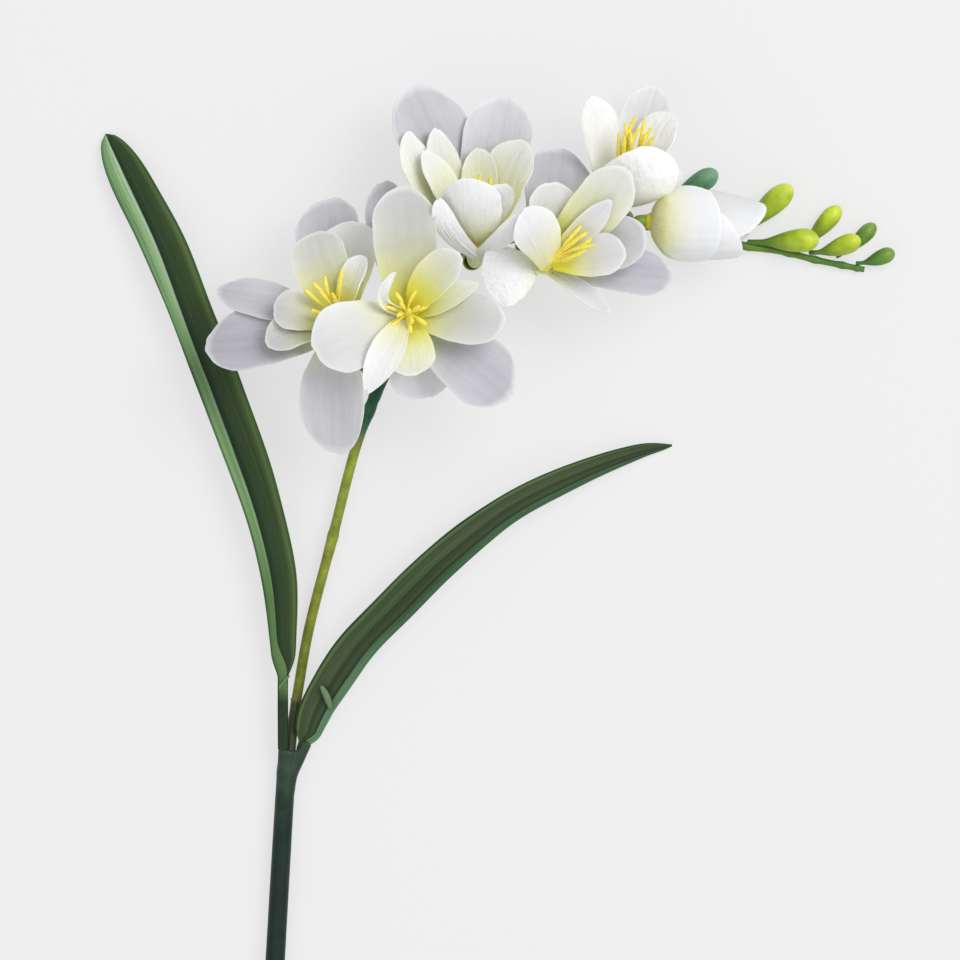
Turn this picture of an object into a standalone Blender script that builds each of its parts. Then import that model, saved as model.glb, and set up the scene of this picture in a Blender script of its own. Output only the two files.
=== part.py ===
"""Freesia flower: one cut stem lying on a surface, with two leaves, six florets and seven buds.

Every place below is in millimetres from the fork where the leaves and the flower stalk leave the
stem: +X runs towards the tip of the flower spike, +Y along the stem towards the flowers, +Z up.
"""

from collections import namedtuple
from math import cos, pi, radians, sin, sqrt

import bmesh
import bpy
from mathutils import Matrix, Vector

# ---------------------------------------------------------------- driving dimensions, in mm
MM = 0.001
GAP = 0.3                  # clearance between pieces that touch

STEM_LENGTH = 148
STEM_RADIUS = 3.2
STEM_TOP_RADIUS = 2.8
FORK_RADII = (2.1, 1.8)    # the fork's right arm where it leaves the stem, and at its end
STALK_RADIUS = 1.6
SLEEVE_RADIUS = 1.7
SPIKE_RADIUS = 1.5
SPIKE_TIP_RADIUS = 0.9

LEAF_THICKNESS = 0.7
LEAF_RISE = 0.36           # how steeply a leaf's halves rise from its fold
FOLDED_SHUT = 0.8          # place of the fold across the channel in which a leaf starts
OPENING_LENGTH = 0.11      # share of a leaf's length in which the fold moves to its place
LEAF_TIP_SHARE = 0.04

PETAL_THICKNESS = 0.7
CLAW_WIDTH = 3.6           # least width of a petal where it leaves the floret's tube
CLAW_SHARE = 0.38          # that width as a share of a broad petal's width
BROADEST = 0.64            # share of its length where a round petal is broadest
BLUNTNESS = 0.74           # width of a round petal's tip as a share of its width
TIP_ROUNDING = 0.3         # share of a petal's length in which its tip rounds off
OUTER_RING = 3.6           # radius on which the outer petals stand
INNER_RING = 2.2           # radius on which the inner petals stand
HEART_RING = 1.6           # radius on which a third whorl stands
WHORL_STEP = 2.2           # height between two whorls of one floret
PETAL_LEVEL = 1.3          # height of the petals' feet on a whorl's core
TUBE_FOOT_RADIUS = 1.5
TUBE_MOUTH_RADIUS = 3.9
THROAT_SHARES = (0, 0.2, 0.4, 0.6, 0.8, 0.95, 1)
CALYX_HEIGHT = 5
CALYX_SHARE = 0.3          # the calyx covers no more than this share of a short tube
CALYX_WALL = 0.6
CALYX_BASE = 1.2           # depth of the calyx below the foot of the tube
CALYX_FLARE = 0.7          # how far the calyx widens towards its rim
STAMEN_RADIUS = 0.45
STAMEN_CORE_RADIUS = 0.8
STAMEN_CORE_HEIGHT = 1.2

# ---------------------------------------------------------------- routes
STEM_ROUTE = [
    (-9.5, -2 - STEM_LENGTH, 3.2), (-4.7, -64, 3.2), (-1.6, -11, 3.3), (-0.8, -2, 3.3),
]
FORK_ROUTE = [(0.6, -9, 3.3), (4, -3.4, 3.4)]
SLEEVE_ROUTE = [(-0.4, -2 + GAP, 2.5), (0.6, 6, 2.5), (1.5, 12.7, 2.6)]
STALK_ROUTE = [(1.6, 13, 2.6), (5.5, 35, 3.2), (12.5, 62, 4.2), (19.2, 88, 5), (25, 104, 5.5)]
SPIKE_ROUTE = [
    (25.15, 104.4, 5.5), (33, 119, 5.2), (49, 144, 4.4), (64, 151.5, 3.6), (93, 156, 3), (118, 155, 2.4),
    (135, 150.5, 2.2), (148, 148.5, 2), (158, 146, 1.8), (168, 144, 1.5), (173, 143, 1.4),
]

# width; width of the channel at its start, as a share; where along it the channel ends and how long it
# takes to open; where it is broadest; how fast it swells, falls and rounds off; place of its fold across
Leaf = namedtuple("Leaf", "route width channel opening broadest swell fall blunt fold mirrored")
LEFT_LEAF = Leaf(
    route=[
        (-2.3, -1.6, 5.1), (-2.4, 16, 5.6), (-2.3, 31, 6), (-3.8, 52, 6.5), (-9.8, 76, 7.5),
        (-19.5, 103, 7.5), (-28, 125, 6.5), (-37.7, 149, 4.5), (-47, 167, 2.5), (-56, 184, 0.8),
    ],
    width=13.2, channel=0.24, opening=(0.08, 0.12), broadest=0.6, swell=0.8, fall=8, blunt=0.6, fold=0.34,
    mirrored=False,
)
RIGHT_LEAF = Leaf(
    route=[
        (4.2, -2.6, 3.4), (5, 3, 4.2), (7, 9, 5.5), (10.7, 16, 7), (19.5, 29, 9.5), (31, 41, 11),
        (43, 53, 11.5), (56, 64, 10.5), (70, 73.5, 8.5), (88, 82, 5), (105, 88, 2), (115, 90, 0.8),
    ],
    width=11.2, channel=0.3, opening=(-0.04, 0.15), broadest=0.42, swell=0.35, fall=1.8, blunt=0.72,
    fold=0.22, mirrored=True,
)
# a short tongue that stands up from the right leaf's foot
TONGUE_ROUTE = [(11.6, 11.8, 6.6), (10.6, 14.6, 8.6), (9.3, 17.4, 9.8)]
TONGUE_RADII = (1.2, 1.4, 0.5)

# ---------------------------------------------------------------- florets
# tip: from the floret's hub to the petal's tip.  rise, swing, bow: how far the middle of the petal is
# pushed along the floret's axis, to the petal's left and outwards.  cup: depth of the hollow across the
# petal.  point: from round (0) to pointed (1).  back: where the petal's back looks, if not outwards.
Petal = namedtuple("Petal", "tip width rise swing bow cup point back", defaults=(2, 0, 0, 1.5, 0, None))
Floret = namedtuple("Floret", "foot hub axis outer inner heart stamens")

FLORETS = {
    "a": Floret(
        foot=(25, 111, 7), hub=(16, 126, 29), axis=(-0.3, 0.4, 0.87),
        outer=[
            Petal((-38, 10, -8), 12, 3, point=0.3),
            Petal((-41, -6, -4), 20, 3, swing=2.5),
            Petal((-2, -39, -6), 19, 4),
            Petal((-5, 38, -13), 20, 3),
        ],
        inner=[
            Petal((-7, 27, -1), 18, 4),
            Petal((6, 30, -3), 17, 4),
            Petal((-21, 5, 4), 11, 3),
            Petal((-23, -4, 6), 10, 3),
        ],
        heart=[Petal((5, 20, 6), 7, 2)],
        stamens=[(-11, 10, 9), (-7, 12, 10), (-5, 14, 10), (0, 16, 12), (-9, 4, 10), (-3, 9, 11)],
    ),
    "b": Floret(
        foot=(34, 119, 8.8), hub=(35, 128, 33), axis=(0.05, 0.2, 0.98),
        outer=[
            Petal((-7, 41, -13.5), 15, 2),
            Petal((31, -20, -2), 21, 3),
            Petal((10, -25, -9), 18, 2),
        ],
        inner=[
            Petal((-2, 38, 6), 17, 4),
            Petal((29, 0, 7), 14, 3),
            Petal((-27, -10, 9), 21, 5),
            Petal((1, -18, 7), 12, 3),
            Petal((22, 10, 9), 7, 2, point=1),
        ],
        heart=[
            Petal((15, 15, 13), 12, 3),
            Petal((-9, -22, 12), 10, 4, point=0.7),
            Petal((-3.5, 12.5, 11), 6, 1, swing=3),
        ],
        stamens=[(-4, 3, 10), (-2, 5, 11), (3, 5, 10), (4, 1, 10), (0, -3, 10), (-3, -2, 10), (1, 2, 11)],
    ),
    "c": Floret(
        foot=(54, 147, 8), hub=(56, 145.5, 21), axis=(0.03, 0.75, 0.66),
        outer=[
            Petal((-19, 52, -2), 24, 3),
            Petal((9, 49, -2), 21, 3),
            Petal((-9.5, 18.5, 24), 5.5, 2.5, swing=-1, bow=4.5, cup=0.6, back=(-0.3, -0.6, 0.74)),
            Petal((16, 13, 20), 6.5, 6, swing=-4.2, bow=4.8, cup=0.6, back=(0, -0.66, 0.75)),
        ],
        inner=[
            Petal((-20, 37, 5), 13, 3, swing=2.5, point=0.5),
            Petal((-11, 38, 3), 11, 3, point=0.4),
            Petal((-15.5, 31, 10), 11, 3, swing=-1, point=0.5),
            Petal((16, 34, 6), 15.5, 3, point=0.2),
            Petal((1, 32, 4), 11, 3, point=0.3),
        ],
        heart=[
            Petal((-1, 22, 24), 17, 0, bow=5, cup=3, back=(-0.1, -0.65, 0.75)),
            Petal((8, 20, 19.5), 12, 1, bow=2, back=(0.3, -0.6, 0.75)),
        ],
        stamens=[(2, 26, 13), (4, 27, 12), (1, 29, 11), (5, 24, 12)],
    ),
    "d": Floret(
        foot=(70, 151.4, 6.2), hub=(76, 144, 27), axis=(0.4, 0.1, 0.91),
        outer=[
            Petal((5, 35, -9), 22, 2),
            Petal((39, -4, -8), 14, 3),
            Petal((20, -15, 0), 6, 2, cup=0.4, point=0.8),
            Petal((-18.5, -4, 3), 17.5, 0.5, cup=0.5),
        ],
        inner=[
            Petal((24, 28, 9), 17, 3),
            Petal((30, 9, 1), 16, 3),
            Petal((1, 24, 6), 16, 3),
        ],
        heart=[
            Petal((23, 3, 5), 13, 1.5),
            Petal((-8, 15, 14), 14.5, 2, swing=1),
            Petal((18.5, 18.5, 8), 8, 2, point=0.6),
        ],
        stamens=[(11, 11, 11), (14, 7, 13), (15, 5, 14), (9, 2, 13), (10, 7, 12)],
    ),
    "e": Floret(
        foot=(101, 158.5, 5.5), hub=(98, 162, 15), axis=(0.15, 0.8, 0.58),
        outer=[
            Petal((-7, 32, 9), 14, 3, point=0.3),
            Petal((12, 36, -3), 15, 2),
            Petal((19.5, 11, -8), 12, 2),
        ],
        inner=[
            Petal((15, 26, 4), 13, 2),
            Petal((7, 15, 17), 19, 0, swing=3, bow=4, cup=3, back=(0.05, -0.6, 0.8)),
        ],
        heart=[],
        stamens=[(2, 23, 15), (6, 25, 15), (8, 24, 15), (11, 20, 14), (4, 20, 16)],
    ),
}

# the shut floret: where it starts, where it points, and its wrapped petals, each with its direction
# round the body, its length, half the angle that it spans and its height above the body
CLOSED_CARRIER = (104, 156.4, 4.6)
CLOSED_FOOT = (108.5, 157, 16)
CLOSED_TIP = (139, 155.5, 16.5)
CLOSED_LENGTH = 29
CLOSED_FOOT_RADIUS = 1.6
CLOSED_RADIUS = 9
CLOSED_BULGE = 14           # distance from the foot where the wrapped petals begin to draw together
CLOSED_NARROWING = 0.5      # share of the radius lost over the closing length
CLOSED_NARROWING_LENGTH = 20
WRAP_ROUNDING = 0.45
Wrap = namedtuple("Wrap", "angle length spread lift")
CLOSED_WRAPS = [
    Wrap(38, 20.5, 85, 3.5), Wrap(62, 29, 72, 2.4), Wrap(-62, 34.5, 66, 1.3), Wrap(175, 25, 70, 0.1),
]

# where the spike carries the bud, the bend of its foot, its tip, and its greatest width
BUDS = {
    "first": ((108, 158, 3.4), (117, 165, 4), (128.5, 172.5, 5.5), 6.6),
    "second": ((137.2, 151.7, 2.6), (141, 156, 4), (151, 168, 6), 7.4),
    "third": ((140.5, 151.3, 2.9), (146, 151.5, 5), (159, 152, 7.6), 7.2),
    "fourth": ((153.3, 149.1, 1.9), (157, 152, 2.3), (165.5, 162, 4), 5.6),
    "fifth": ((156.5, 148.2, 2.2), (161, 147.5, 5), (171.5, 152.2, 7.5), 6.0),
    "sixth": ((167, 145.6, 1.6), (172, 148.5, 1.8), (176.5, 157, 2.6), 4.6),
    "seventh": ((170.5, 145, 2), (174, 144.5, 3), (182, 148.5, 3), 4.8),
}
# places along a bud, and its width there as a share of its greatest width
BUD_SHARES = (0, 0.2, 0.35, 0.5, 0.62, 0.74, 0.84, 0.93, 0.98, 1)
BUD_SWELLING = (0.24, 0.24, 0.36, 0.66, 0.84, 0.96, 1, 0.82, 0.5, 0.2)

# ---------------------------------------------------------------- colours: red, green, blue, roughness
FINISHES = {
    "stem_green": (0.03, 0.06, 0.045, 0.55),
    "stalk_green": (0.25, 0.33, 0.05, 0.55),
    "leaf_green": (0.04, 0.09, 0.03, 0.5),
    "bud_green": (0.32, 0.5, 0.06, 0.4),
    "outer_white": (0.78, 0.78, 0.82, 0.7),
    "inner_cream": (0.88, 0.88, 0.8, 0.7),
    "stamen_yellow": (0.85, 0.7, 0.08, 0.6),
}


def clear_scene():
    """Empty the file that the model is built in."""
    for item in list(bpy.data.objects):
        bpy.data.objects.remove(item, do_unlink=True)


def finish(name):
    """The Principled material of one finish, made once."""
    material = bpy.data.materials.get(name)
    if material is None:
        red, green, blue, roughness = FINISHES[name]
        material = bpy.data.materials.new(name)
        material.use_nodes = True
        shader = material.node_tree.nodes["Principled BSDF"]
        shader.inputs["Base Color"].default_value = (red, green, blue, 1)
        shader.inputs["Roughness"].default_value = roughness
        shader.inputs["Metallic"].default_value = 0
    return material


def to_object(bm, name):
    """Turn a bmesh drawn in mm into an object in metres."""
    bmesh.ops.scale(bm, vec=(MM, MM, MM), verts=bm.verts)
    bmesh.ops.recalc_face_normals(bm, faces=bm.faces)
    mesh = bpy.data.meshes.new(name)
    bm.to_mesh(mesh)
    bm.free()
    item = bpy.data.objects.new(name, mesh)
    bpy.context.collection.objects.link(item)
    return item


def place(item, material, root):
    """Hang a finished piece under the flower's root and give it its finish."""
    item.data.materials.clear()
    item.data.materials.append(finish(material))
    item.data.shade_smooth()
    item.data.set_sharp_from_angle(angle=radians(50))
    item.parent = root
    return item


def fuse(name, pieces):
    """Unite pieces that grow together into one solid."""
    body = pieces[0]
    for piece in pieces[1:]:
        union = body.modifiers.new("grow_together", "BOOLEAN")
        union.operation = "UNION"
        union.solver = "EXACT"
        union.use_self = True
        union.object = piece
    bpy.context.view_layer.update()
    evaluated = body.evaluated_get(bpy.context.evaluated_depsgraph_get())
    mesh = bpy.data.meshes.new_from_object(evaluated)
    body.modifiers.clear()
    body.data = mesh
    for piece in pieces[1:]:
        bpy.data.objects.remove(piece, do_unlink=True)
    body.name = name
    mesh.name = name
    return body


def thicken(bm, name, thickness):
    """Give an open blade its thickness and make it an object."""
    bm.normal_update()
    bmesh.ops.solidify(bm, geom=bm.faces[:], thickness=thickness)
    return to_object(bm, name)


def smooth_route(points, steps):
    """Catmull-Rom curve through the points, with so many steps between two of them."""
    points = [Vector(p) for p in points]
    first = points[0] * 2 - points[1]
    last = points[-1] * 2 - points[-2]
    padded = [first] + points + [last]
    route = []
    for p0, p1, p2, p3 in zip(padded, padded[1:], padded[2:], padded[3:]):
        for step in range(steps):
            t = step / steps
            bend = (p0 * 2 - p1 * 5 + p2 * 4 - p3) * t * t + (p1 * 3 - p0 - p2 * 3 + p3) * t * t * t
            route.append((p1 * 2 + (p2 - p0) * t + bend) / 2)
    route.append(points[-1])
    return route


def tangents(route):
    """Direction of travel at every point of a route."""
    ends = [route[1] - route[0]]
    middle = [b - a for a, b in zip(route, route[2:])]
    return [t.normalized() for t in ends + middle + [route[-1] - route[-2]]]


def tube(name, route, radii, sides=8):
    """Solid round bar along a route, with closed ends."""
    bm = bmesh.new()
    heading = Vector((0, 0, 1))
    turn = Matrix.Identity(4)
    last_ring = None
    for centre, direction, radius in zip(route, tangents(route), radii):
        turn = heading.rotation_difference(direction).to_matrix().to_4x4() @ turn
        heading = direction
        at = Matrix.Translation(centre) @ turn
        verts = bmesh.ops.create_circle(bm, segments=sides, radius=radius, matrix=at)["verts"]
        ring = list({edge for vert in verts for edge in vert.link_edges})
        if last_ring:
            bmesh.ops.bridge_loops(bm, edges=last_ring + ring)
        last_ring = ring
    bmesh.ops.holes_fill(bm, edges=bm.edges, sides=sides)
    return to_object(bm, name)


def taper(start, end, count):
    """Evenly changing radii for a tube."""
    return [start + (end - start) * k / (count - 1) for k in range(count)]


def throat_radius(s):
    """Radius of a floret's tube at a share of its length: slender below, wide at its mouth."""
    return TUBE_FOOT_RADIUS + (TUBE_MOUTH_RADIUS - TUBE_FOOT_RADIUS) * s ** 1.8


def perpendicular(vector, direction):
    """The part of a vector square to a direction, at unit length."""
    return (vector - direction * vector.dot(direction)).normalized()


def petal_outline(s, width, point):
    """Half the petal's width at a share s of its length."""
    broadest = BROADEST - 0.2 * point
    claw = min(1, max(CLAW_SHARE, CLAW_WIDTH / width))
    tip_share = BLUNTNESS - 0.55 * point
    if s < broadest:
        share = claw + (1 - claw) * sin(pi / 2 * s / broadest)
    else:
        share = 1 - (1 - tip_share) * ((s - broadest) / (1 - broadest)) ** 2
    return width / 2 * share


def bezier(start, control, end, s):
    """Point at a share s of a curve with one control point."""
    return start * (1 - s) ** 2 + control * 2 * s * (1 - s) + end * s * s


def petal_shell(name, hub, axis, ring, petal):
    """One petal: a thin cupped blade that leaves the hub's ring and ends at its tip."""
    tip = hub + Vector(petal.tip)
    outward = perpendicular(Vector(petal.back) if petal.back else tip - hub, axis)
    foot = hub + outward * ring - axis * 0.5
    sideways = axis.cross(outward)
    middle = (foot + tip) / 2 + axis * petal.rise + sideways * petal.swing + outward * petal.bow
    control = middle * 2 - (foot + tip) / 2
    bm = bmesh.new()
    bmesh.ops.create_grid(bm, x_segments=6, y_segments=4, size=1)
    for vert in bm.verts:
        v = vert.co.y
        s = (vert.co.x + 1) / 2
        s *= 1 - TIP_ROUNDING * (1 - sqrt(1 - v * v)) * s * s
        direction = ((control - foot) * (1 - s) + (tip - control) * s).normalized()
        inside = (axis * direction.dot(outward) - outward * direction.dot(axis)).normalized()
        side = direction.cross(inside)
        half = petal_outline(s, petal.width, petal.point)
        share = half / (petal.width / 2)
        hollow = petal.cup * v * v * share * share
        vert.co = bezier(foot, control, tip, s) + side * half * v + inside * hollow
    return thicken(bm, name, PETAL_THICKNESS)


def whorl(name, hub, axis, ring, petals, core):
    """Petals that grow from one core, as one solid."""
    blades = [petal_shell(name, hub, axis, ring, petal) for petal in petals]
    return fuse(name, [core] + blades)


def floret(key, shape, root):
    """Tube with the outer petals, inner whorls, stamens and the green cup below them."""
    foot, hub, axis = Vector(shape.foot), Vector(shape.hub), Vector(shape.axis).normalized()
    bend = hub - axis * (hub - foot).length * 0.5
    route = [bezier(foot, bend, hub, s) for s in THROAT_SHARES]
    throat = tube("tube", route, [throat_radius(s) for s in THROAT_SHARES], sides=10)
    outer = whorl(f"floret_{key}_outer_petals", hub, axis, OUTER_RING, shape.outer, throat)
    place(outer, "outer_white", root)
    level = hub + axis * GAP
    for title, ring, petals in (("inner", INNER_RING, shape.inner), ("heart", HEART_RING, shape.heart)):
        if petals:
            top = level + axis * (WHORL_STEP - GAP)
            core = tube("core", [level, top], [ring + 0.4, ring + 0.4], sides=10)
            base = level + axis * PETAL_LEVEL
            place(whorl(f"floret_{key}_{title}_petals", base, axis, ring, petals, core), "inner_cream", root)
            level = top + axis * GAP
    threads = [tube("core", [level, level + axis * STAMEN_CORE_HEIGHT], [STAMEN_CORE_RADIUS] * 2)]
    for tip in shape.stamens:
        end = hub + Vector(tip)
        lean = perpendicular(end - level, axis)
        start = level + (axis * STAMEN_CORE_HEIGHT + lean * STAMEN_CORE_RADIUS) / 2
        threads.append(tube("thread", [start, end], [STAMEN_RADIUS, STAMEN_RADIUS], sides=6))
    place(fuse(f"floret_{key}_stamens", threads), "stamen_yellow", root)
    height = min(CALYX_HEIGHT, CALYX_SHARE * (hub - foot).length)
    calyx(f"floret_{key}_calyx", foot, (bend - foot).normalized(), height, root)


def calyx(name, foot, axis, height, root):
    """Green cup that holds the foot of a floret's tube."""
    inner = TUBE_FOOT_RADIUS + GAP
    outer = inner + CALYX_WALL
    profile = [(0, -CALYX_BASE), (outer * 0.8, -CALYX_BASE), (outer, 0), (outer + CALYX_FLARE, height)]
    profile += [(inner + CALYX_FLARE, height), (inner, -GAP), (0, -GAP)]
    bm = bmesh.new()
    verts = [bm.verts.new((x, 0, z)) for x, z in profile]
    edges = [bm.edges.new(pair) for pair in zip(verts, verts[1:])]
    bmesh.ops.spin(bm, geom=verts + edges, axis=(0, 0, 1), cent=(0, 0, 0), steps=10, angle=2 * pi)
    bmesh.ops.remove_doubles(bm, verts=bm.verts, dist=0.001)
    turn = Vector((0, 0, 1)).rotation_difference(axis).to_matrix().to_4x4()
    bmesh.ops.transform(bm, matrix=Matrix.Translation(foot) @ turn, verts=bm.verts)
    place(to_object(bm, name), "stalk_green", root)


def ease(x):
    """Smooth step from 0 to 1."""
    x = min(1, max(0, x))
    return x * x * (3 - 2 * x)


def leaf_outline(s, shape):
    """Share of the leaf's full width at a share s of its length."""
    start, length = shape.opening
    if s < shape.broadest:
        opened = ease((s - start) / length)
        return max(shape.channel, sin(pi / 2 * s / shape.broadest) ** shape.swell * opened)
    past = (s - shape.broadest) / (1 - shape.broadest)
    return max(LEAF_TIP_SHARE, (1 - past ** shape.fall) ** shape.blunt)


def leaf(name, shape):
    """Folded strap leaf: a narrow channel at its foot, a broad blade with two rising halves, a blunt tip."""
    route = smooth_route(shape.route, 3)
    headings = tangents(route)
    count = len(route) - 1
    start = max(shape.opening[0], 0)
    hand = -1 if shape.mirrored else 1
    bm = bmesh.new()
    bmesh.ops.create_grid(bm, x_segments=count, y_segments=4, size=1)
    for vert in bm.verts:
        s = (vert.co.x + 1) / 2
        y = (vert.co.y + 1) / 2
        index = round(s * count)
        shut = 1 - ease((s - start) / OPENING_LENGTH)
        crease = shape.fold + (FOLDED_SHUT - shape.fold) * shut
        place = crease * 2 * y if y < 0.5 else crease + (1 - crease) * (2 * y - 1)
        side = Vector((0, 0, 1)).cross(headings[index]).normalized() * hand
        width = shape.width * leaf_outline(s, shape)
        lift = abs(place - crease) * width * LEAF_RISE
        vert.co = route[index] + side * (0.5 - place) * width + Vector((0, 0, lift))
    return thicken(bm, name, LEAF_THICKNESS)


def bud(name, carrier, foot, tip, width, root):
    """Closed green bud: a slender foot that springs from the spike, and a round tip."""
    carrier, foot, tip = Vector(carrier), Vector(foot), Vector(tip)
    route = [bezier(carrier, foot, tip, s) for s in BUD_SHARES]
    body = tube(name, route, [width / 2 * k for k in BUD_SWELLING], sides=10)
    return place(body, "bud_green", root)


def closed_radius(along):
    """Radius of the shut floret's body at a distance from its foot."""
    share = min(1, max(0, along / CLOSED_LENGTH))
    return CLOSED_FOOT_RADIUS + (CLOSED_RADIUS - CLOSED_FOOT_RADIUS) * sin(pi * share ** 0.8) ** 0.7


def wrap_radius(along):
    """Radius of the wrapped petals: they follow the body, then draw together towards their tips."""
    if along < CLOSED_BULGE:
        return closed_radius(along)
    closing = (along - CLOSED_BULGE) / CLOSED_NARROWING_LENGTH
    return max(closed_radius(along), CLOSED_RADIUS * (1 - CLOSED_NARROWING * closing ** 2))


def wrapped_petal(foot, axis, wrap):
    """A petal wrapped round the shut floret, with a round end."""
    up = perpendicular(Vector((0, 0, 1)), axis)
    side = axis.cross(up)
    bm = bmesh.new()
    bmesh.ops.create_grid(bm, x_segments=8, y_segments=6, size=1)
    for vert in bm.verts:
        v = vert.co.y
        s = (vert.co.x + 1) / 2 * (1 - WRAP_ROUNDING * (1 - sqrt(1 - v * v)))
        angle = radians(wrap.angle + wrap.spread * v * petal_outline(s, 2, 0) ** 0.5)
        lift = wrap.lift * (0.3 + 0.7 * min(1, 5 * s))
        radius = wrap_radius(wrap.length * s) + GAP + lift
        vert.co = foot + axis * wrap.length * s + (up * cos(angle) + side * sin(angle)) * radius
    return thicken(bm, "wrap", PETAL_THICKNESS)


def closed_floret(root):
    """The sixth floret, still shut: a round inner body in four wrapped petals."""
    foot, tip = Vector(CLOSED_FOOT), Vector(CLOSED_TIP)
    axis = (tip - foot).normalized()
    shares = (0.04, 0.12, 0.25, 0.4, 0.55, 0.7, 0.85, 0.96)
    body = tube("inner", [foot + axis * CLOSED_LENGTH * s for s in shares],
                [closed_radius(CLOSED_LENGTH * s) - GAP - PETAL_THICKNESS for s in shares], sides=14)
    body.name = "floret_f_inner_petals"
    place(body, "inner_cream", root)
    cup = tube("cup", [foot - axis * 1.5, foot + axis * 0.8], [2.6, 3.5], sides=12)
    wraps = [wrapped_petal(foot, axis, wrap) for wrap in CLOSED_WRAPS]
    place(fuse("floret_f_outer_petals", [cup] + wraps), "outer_white", root)
    neck_route = [Vector(CLOSED_CARRIER), foot - axis * 4, foot - axis * 1.9]
    neck = tube("floret_f_calyx", neck_route, [1.2, 1.8, 2.1], sides=10)
    place(neck, "stalk_green", root)


def stem_and_stalk(root):
    """The cut stem with its fork, the flower stalk in its sleeve, and the flower spike."""
    route = smooth_route(STEM_ROUTE, 5)
    shaft = tube("shaft", route, taper(STEM_RADIUS, STEM_TOP_RADIUS, len(route)), sides=16)
    fork = tube("fork", [Vector(p) for p in FORK_ROUTE], FORK_RADII, sides=12)
    place(fuse("main_stem", [shaft, fork]), "stem_green", root)
    sleeve_route = [Vector(p) for p in SLEEVE_ROUTE]
    place(tube("stalk_sleeve", sleeve_route, [SLEEVE_RADIUS] * 3, sides=12), "stalk_green", root)
    stalk = smooth_route(STALK_ROUTE, 4)
    place(tube("flower_stalk", stalk, [STALK_RADIUS] * len(stalk), sides=12), "stalk_green", root)
    spike = smooth_route(SPIKE_ROUTE, 3)
    place(tube("flower_spike", spike, taper(SPIKE_RADIUS, SPIKE_TIP_RADIUS, len(spike))), "stalk_green", root)


def main():
    """Build the whole flower and set its origin on the surface below its middle."""
    clear_scene()
    root = bpy.data.objects.new("freesia_flower", None)
    bpy.context.collection.objects.link(root)
    stem_and_stalk(root)
    place(leaf("left_leaf", LEFT_LEAF), "leaf_green", root)
    tongue = tube("tongue", [Vector(p) for p in TONGUE_ROUTE], TONGUE_RADII, sides=10)
    place(fuse("right_leaf", [leaf("right_leaf", RIGHT_LEAF), tongue]), "leaf_green", root)
    for key, shape in FLORETS.items():
        floret(key, shape, root)
    closed_floret(root)
    for title, (carrier, foot, tip, width) in BUDS.items():
        bud(f"{title}_bud", carrier, foot, tip, width, root)
    corners = [v.co for item in root.children for v in item.data.vertices]
    low = [min(c[k] for c in corners) for k in range(3)]
    high = [max(c[k] for c in corners) for k in range(3)]
    root.location = (-(low[0] + high[0]) / 2, -(low[1] + high[1]) / 2, -low[2])


main()
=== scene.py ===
# %% [markdown]
# # A double white freesia, lying on a pale surface
# The imported model gives every piece its place. This script dresses each piece: thin ruffled petals with
# veins, folded leaves, stalks with their joints, and buds. It starts by loading the imported model and
# keeping its box, whose lowest point places the floor.

# %% Load the imported model
from collections import namedtuple
from math import cos, exp, pi, radians, sin, sqrt

import bmesh
import bpy
from mathutils import Matrix, Vector


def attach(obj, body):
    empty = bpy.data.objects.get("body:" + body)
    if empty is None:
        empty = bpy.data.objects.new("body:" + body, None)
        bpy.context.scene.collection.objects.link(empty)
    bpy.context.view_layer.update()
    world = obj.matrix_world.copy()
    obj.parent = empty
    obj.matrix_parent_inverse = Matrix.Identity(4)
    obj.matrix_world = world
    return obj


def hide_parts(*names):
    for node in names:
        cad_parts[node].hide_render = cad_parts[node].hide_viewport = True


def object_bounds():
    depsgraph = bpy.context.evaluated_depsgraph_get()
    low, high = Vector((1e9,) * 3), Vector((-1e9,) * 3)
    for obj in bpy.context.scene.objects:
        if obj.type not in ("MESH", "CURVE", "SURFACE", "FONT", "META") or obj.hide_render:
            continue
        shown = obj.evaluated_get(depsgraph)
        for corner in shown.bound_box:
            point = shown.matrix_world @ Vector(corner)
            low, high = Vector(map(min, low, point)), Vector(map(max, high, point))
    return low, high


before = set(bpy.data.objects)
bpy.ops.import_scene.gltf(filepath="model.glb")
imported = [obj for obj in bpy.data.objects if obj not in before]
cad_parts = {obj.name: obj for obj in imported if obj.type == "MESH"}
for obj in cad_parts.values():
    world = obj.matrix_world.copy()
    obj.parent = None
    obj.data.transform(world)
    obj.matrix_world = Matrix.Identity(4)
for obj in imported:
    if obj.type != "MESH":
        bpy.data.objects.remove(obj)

CAD_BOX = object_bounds()
MM = 0.001
print("nodes:", len(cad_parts))

# %% [markdown]
# ## Where the fork is
# All the routes below are in millimetres from the fork, where leaves and flower stalk leave the stem.
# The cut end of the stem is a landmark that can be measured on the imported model: the middle of its
# vertices is the first point of the stem's route, and that fixes the fork.

# %% Find the fork from the stem's cut end
STEM_ROUTE = [(-9.5, -150, 3.2), (-4.7, -64, 3.2), (-1.6, -11, 3.3), (-0.8, -2, 3.3)]


def cut_end_centre():
    """Middle of the ring of vertices at the stem's cut end."""
    verts = [v.co for v in bpy.data.objects["main_stem"].data.vertices]
    lowest = min(co.y for co in verts)
    ring = [co for co in verts if co.y < lowest + 1 * MM]
    low = [min(co[k] for co in ring) for k in range(3)]
    high = [max(co[k] for co in ring) for k in range(3)]
    return Vector([(a + b) / 2 for a, b in zip(low, high)])


FORK = cut_end_centre() - Vector(STEM_ROUTE[0]) * MM
print("fork at", [round(c / MM, 2) for c in FORK], "mm")

# %% [markdown]
# ## Small helpers for materials
# A finish is a node tree around one Principled shader. Each colour comes from ramps and noise, and the
# fine relief from a bump. These helpers only add and wire nodes, so that each finish reads as a recipe.

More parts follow.
